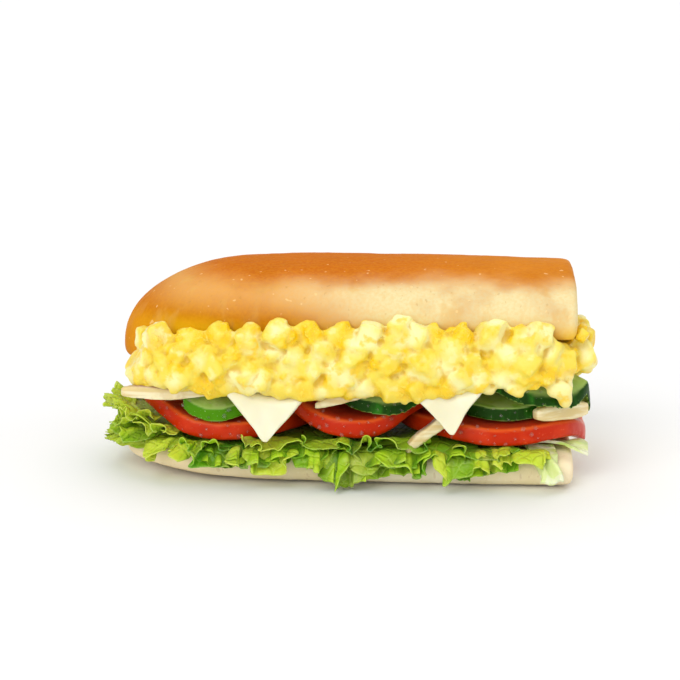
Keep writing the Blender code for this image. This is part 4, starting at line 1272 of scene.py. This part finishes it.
def add_floor():
    """A wide pale floor just under the bread."""
    bpy.ops.mesh.primitive_plane_add(size=FLOOR_WIDTH, location=(0, 0, -FLOOR_DROP))
    floor = bpy.context.object
    floor.name = "floor"
    material, _, shader, _ = new_finish("Pale floor", 0.75)
    shader.inputs["Base Color"].default_value = (*FLOOR_GREY, 1.0)
    floor.data.materials.append(material)
    floor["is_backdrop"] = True


def add_sun(name, way, strength, softness):
    """A soft light from far away, which lights the whole floor alike."""
    light = bpy.data.lights.new(name, "SUN")
    light.energy = strength
    light.angle = math.radians(softness)
    obj = bpy.data.objects.new(name, light)
    obj.location = way
    bpy.context.scene.collection.objects.link(obj)
    aimed(obj, Vector((0, 0, 0)))


def add_world():
    """An even sky that the camera sees as plain white."""
    world = bpy.data.worlds.new("Studio")
    world.use_nodes = True
    tree = world.node_tree
    seen = node(tree, "ShaderNodeLightPath").outputs["Is Camera Ray"]
    strength = ranged(tree, seen, 0.0, 1.0, SKY_STRENGTH, 1.0)
    tree.nodes["Background"].inputs["Color"].default_value = (*WHITE_LIGHT, 1.0)
    tree.links.new(strength, tree.nodes["Background"].inputs["Strength"])
    bpy.context.scene.world = world


def add_camera():
    """A long lens at the photograph's angle."""
    camera = bpy.data.cameras.new("Camera")
    camera.lens = CAMERA_LENS
    camera.sensor_width = CAMERA_SENSOR
    obj = bpy.data.objects.new("Camera", camera)
    bpy.context.scene.collection.objects.link(obj)
    target = Vector(CAMERA_TARGET)
    sine, cosine = math.sin(CAMERA_TURN), math.cos(CAMERA_TURN)
    level = math.cos(CAMERA_RISE)
    back = Vector((sine * level, -cosine * level, math.sin(CAMERA_RISE)))
    obj.location = target + back * CAMERA_DISTANCE
    aimed(obj, target)
    bpy.context.scene.camera = obj


# Operators


class SANDWICH_OT_stage(bpy.types.Operator):
    """Makes the pale floor, the soft lights and the camera."""

    bl_idname = "sandwich.stage"
    bl_label = "Stage"

    def execute(self, context):
        add_floor()
        add_world()
        for sun in SUNS:
            add_sun(*sun)
        add_camera()
        context.scene.view_settings.view_transform = "Standard"
        return {"FINISHED"}


class SANDWICH_OT_bread(bpy.types.Operator):
    """Makes both halves of the bread."""

    bl_idname = "sandwich.bread"
    bl_label = "Bread"

    def execute(self, context):
        sizes, colours = context.scene.sandwich_sizes, context.scene.sandwich_colours
        make_bread(crust_finish(colours), "bun_top", "crust", sizes)
        make_bread(bread_finish(colours), "bun_bottom", "bread", sizes)
        return {"FINISHED"}


class SANDWICH_OT_tomato(bpy.types.Operator):
    """Makes the tomato slices."""

    bl_idname = "sandwich.tomato"
    bl_label = "Tomato"

    def execute(self, context):
        finish = tomato_finish(context.scene.sandwich_colours)
        for node_name in TOMATOES:
            make_slice(finish, node_name, "tomato", 0.7 * MM, 0.35 * MM, 0.0)
        return {"FINISHED"}


class SANDWICH_OT_cucumber(bpy.types.Operator):
    """Makes the cucumber slices."""

    bl_idname = "sandwich.cucumber"
    bl_label = "Cucumber"

    def execute(self, context):
        finish = cucumber_finish(context.scene.sandwich_colours)
        for node_name in CUCUMBERS:
            light = 0.85 if node_name in LIGHT_CUCUMBERS else 0.0
            make_slice(finish, node_name, "cucumber", 0.5 * MM, 0.2 * MM, light)
        return {"FINISHED"}


class SANDWICH_OT_cheese(bpy.types.Operator):
    """Makes the cheese slices."""

    bl_idname = "sandwich.cheese"
    bl_label = "Cheese"

    def execute(self, context):
        finish = cheese_finish(context.scene.sandwich_colours)
        for node_name in CHEESES:
            make_cheese(finish, node_name)
        return {"FINISHED"}


class SANDWICH_OT_onion(bpy.types.Operator):
    """Makes the onion strips."""

    bl_idname = "sandwich.onion"
    bl_label = "Onion"

    def execute(self, context):
        finish = onion_finish(context.scene.sandwich_colours)
        for node_name in ONIONS:
            make_onion(finish, node_name)
        return {"FINISHED"}


class SANDWICH_OT_lettuce(bpy.types.Operator):
    """Makes the lettuce leaves and the pale strips at the cut end."""

    bl_idname = "sandwich.lettuce"
    bl_label = "Lettuce"

    def execute(self, context):
        sizes, colours = context.scene.sandwich_sizes, context.scene.sandwich_colours
        finish = lettuce_finish(colours)
        for seed, node_name in enumerate(LOW_LEAVES):
            make_leaf(finish, node_name, LOW_LEAF_FALL, seed, sizes)
        for seed, node_name in enumerate(HIGH_LEAVES):
            make_leaf(finish, node_name, HIGH_LEAF_FALL, 10 + seed, sizes)
        for number, spec in enumerate(FRILLS, 1):
            make_frill(finish, f"lettuce_frill_{number}", spec, 40 + number, back=False)
            make_frill(finish, f"lettuce_curl_{number}", spec, 80 + number, back=True)
        pale = pale_lettuce_finish(colours)
        for node_name in SHREDS:
            make_shred(pale, node_name)
        return {"FINISHED"}


class SANDWICH_OT_egg_salad(bpy.types.Operator):
    """Chops the egg and folds it into the dressing."""

    bl_idname = "sandwich.egg_salad"
    bl_label = "Egg salad"

    def execute(self, context):
        sizes, colours = context.scene.sandwich_sizes, context.scene.sandwich_colours
        make_egg_salad(egg_finish(), sizes, colours)
        return {"FINISHED"}


class SANDWICH_OT_water(bpy.types.Operator):
    """Puts drops of water on the tomato and the cucumber."""

    bl_idname = "sandwich.water"
    bl_label = "Water drops"

    def execute(self, context):
        sizes = context.scene.sandwich_sizes
        finish = water_finish()
        make_drops(finish, "drops_on_tomato", TOMATOES, TOMATO_DROPS, 5, sizes)
        make_drops(finish, "drops_on_cucumber", CUCUMBERS, CUCUMBER_DROPS, 6, sizes)
        return {"FINISHED"}


OPERATORS = (
    SANDWICH_OT_stage,
    SANDWICH_OT_bread,
    SANDWICH_OT_lettuce,
    SANDWICH_OT_tomato,
    SANDWICH_OT_cucumber,
    SANDWICH_OT_cheese,
    SANDWICH_OT_onion,
    SANDWICH_OT_egg_salad,
    SANDWICH_OT_water,
)


class SANDWICH_PT_panel(bpy.types.Panel):
    """Lists what the sandwich is made of."""

    bl_label = "Sandwich"
    bl_idname = "SANDWICH_PT_panel"
    bl_space_type = "VIEW_3D"
    bl_region_type = "UI"
    bl_category = "Sandwich"

    def draw(self, context):
        for group in (context.scene.sandwich_sizes, context.scene.sandwich_colours):
            for name in group.bl_rna.properties.keys():
                if name not in ("rna_type", "name"):
                    self.layout.prop(group, name)
        for operator in OPERATORS:
            self.layout.operator(operator.bl_idname)


CLASSES = (SandwichSizes, SandwichColours, *OPERATORS, SANDWICH_PT_panel)


def register():
    for cls in CLASSES:
        bpy.utils.register_class(cls)
    bpy.types.Scene.sandwich_sizes = bpy.props.PointerProperty(type=SandwichSizes)
    bpy.types.Scene.sandwich_colours = bpy.props.PointerProperty(type=SandwichColours)


def unregister():
    del bpy.types.Scene.sandwich_colours
    del bpy.types.Scene.sandwich_sizes
    for cls in reversed(CLASSES):
        bpy.utils.unregister_class(cls)


def main():
    register()
    for operator in OPERATORS:
        group, name = operator.bl_idname.split(".")
        getattr(getattr(bpy.ops, group), name)()
    boxes = {"cad": CAD_BOX, "visual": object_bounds()}
    {name: [list(low), list(high)] for name, (low, high) in boxes.items()}


if __name__ == "__main__":
    main()
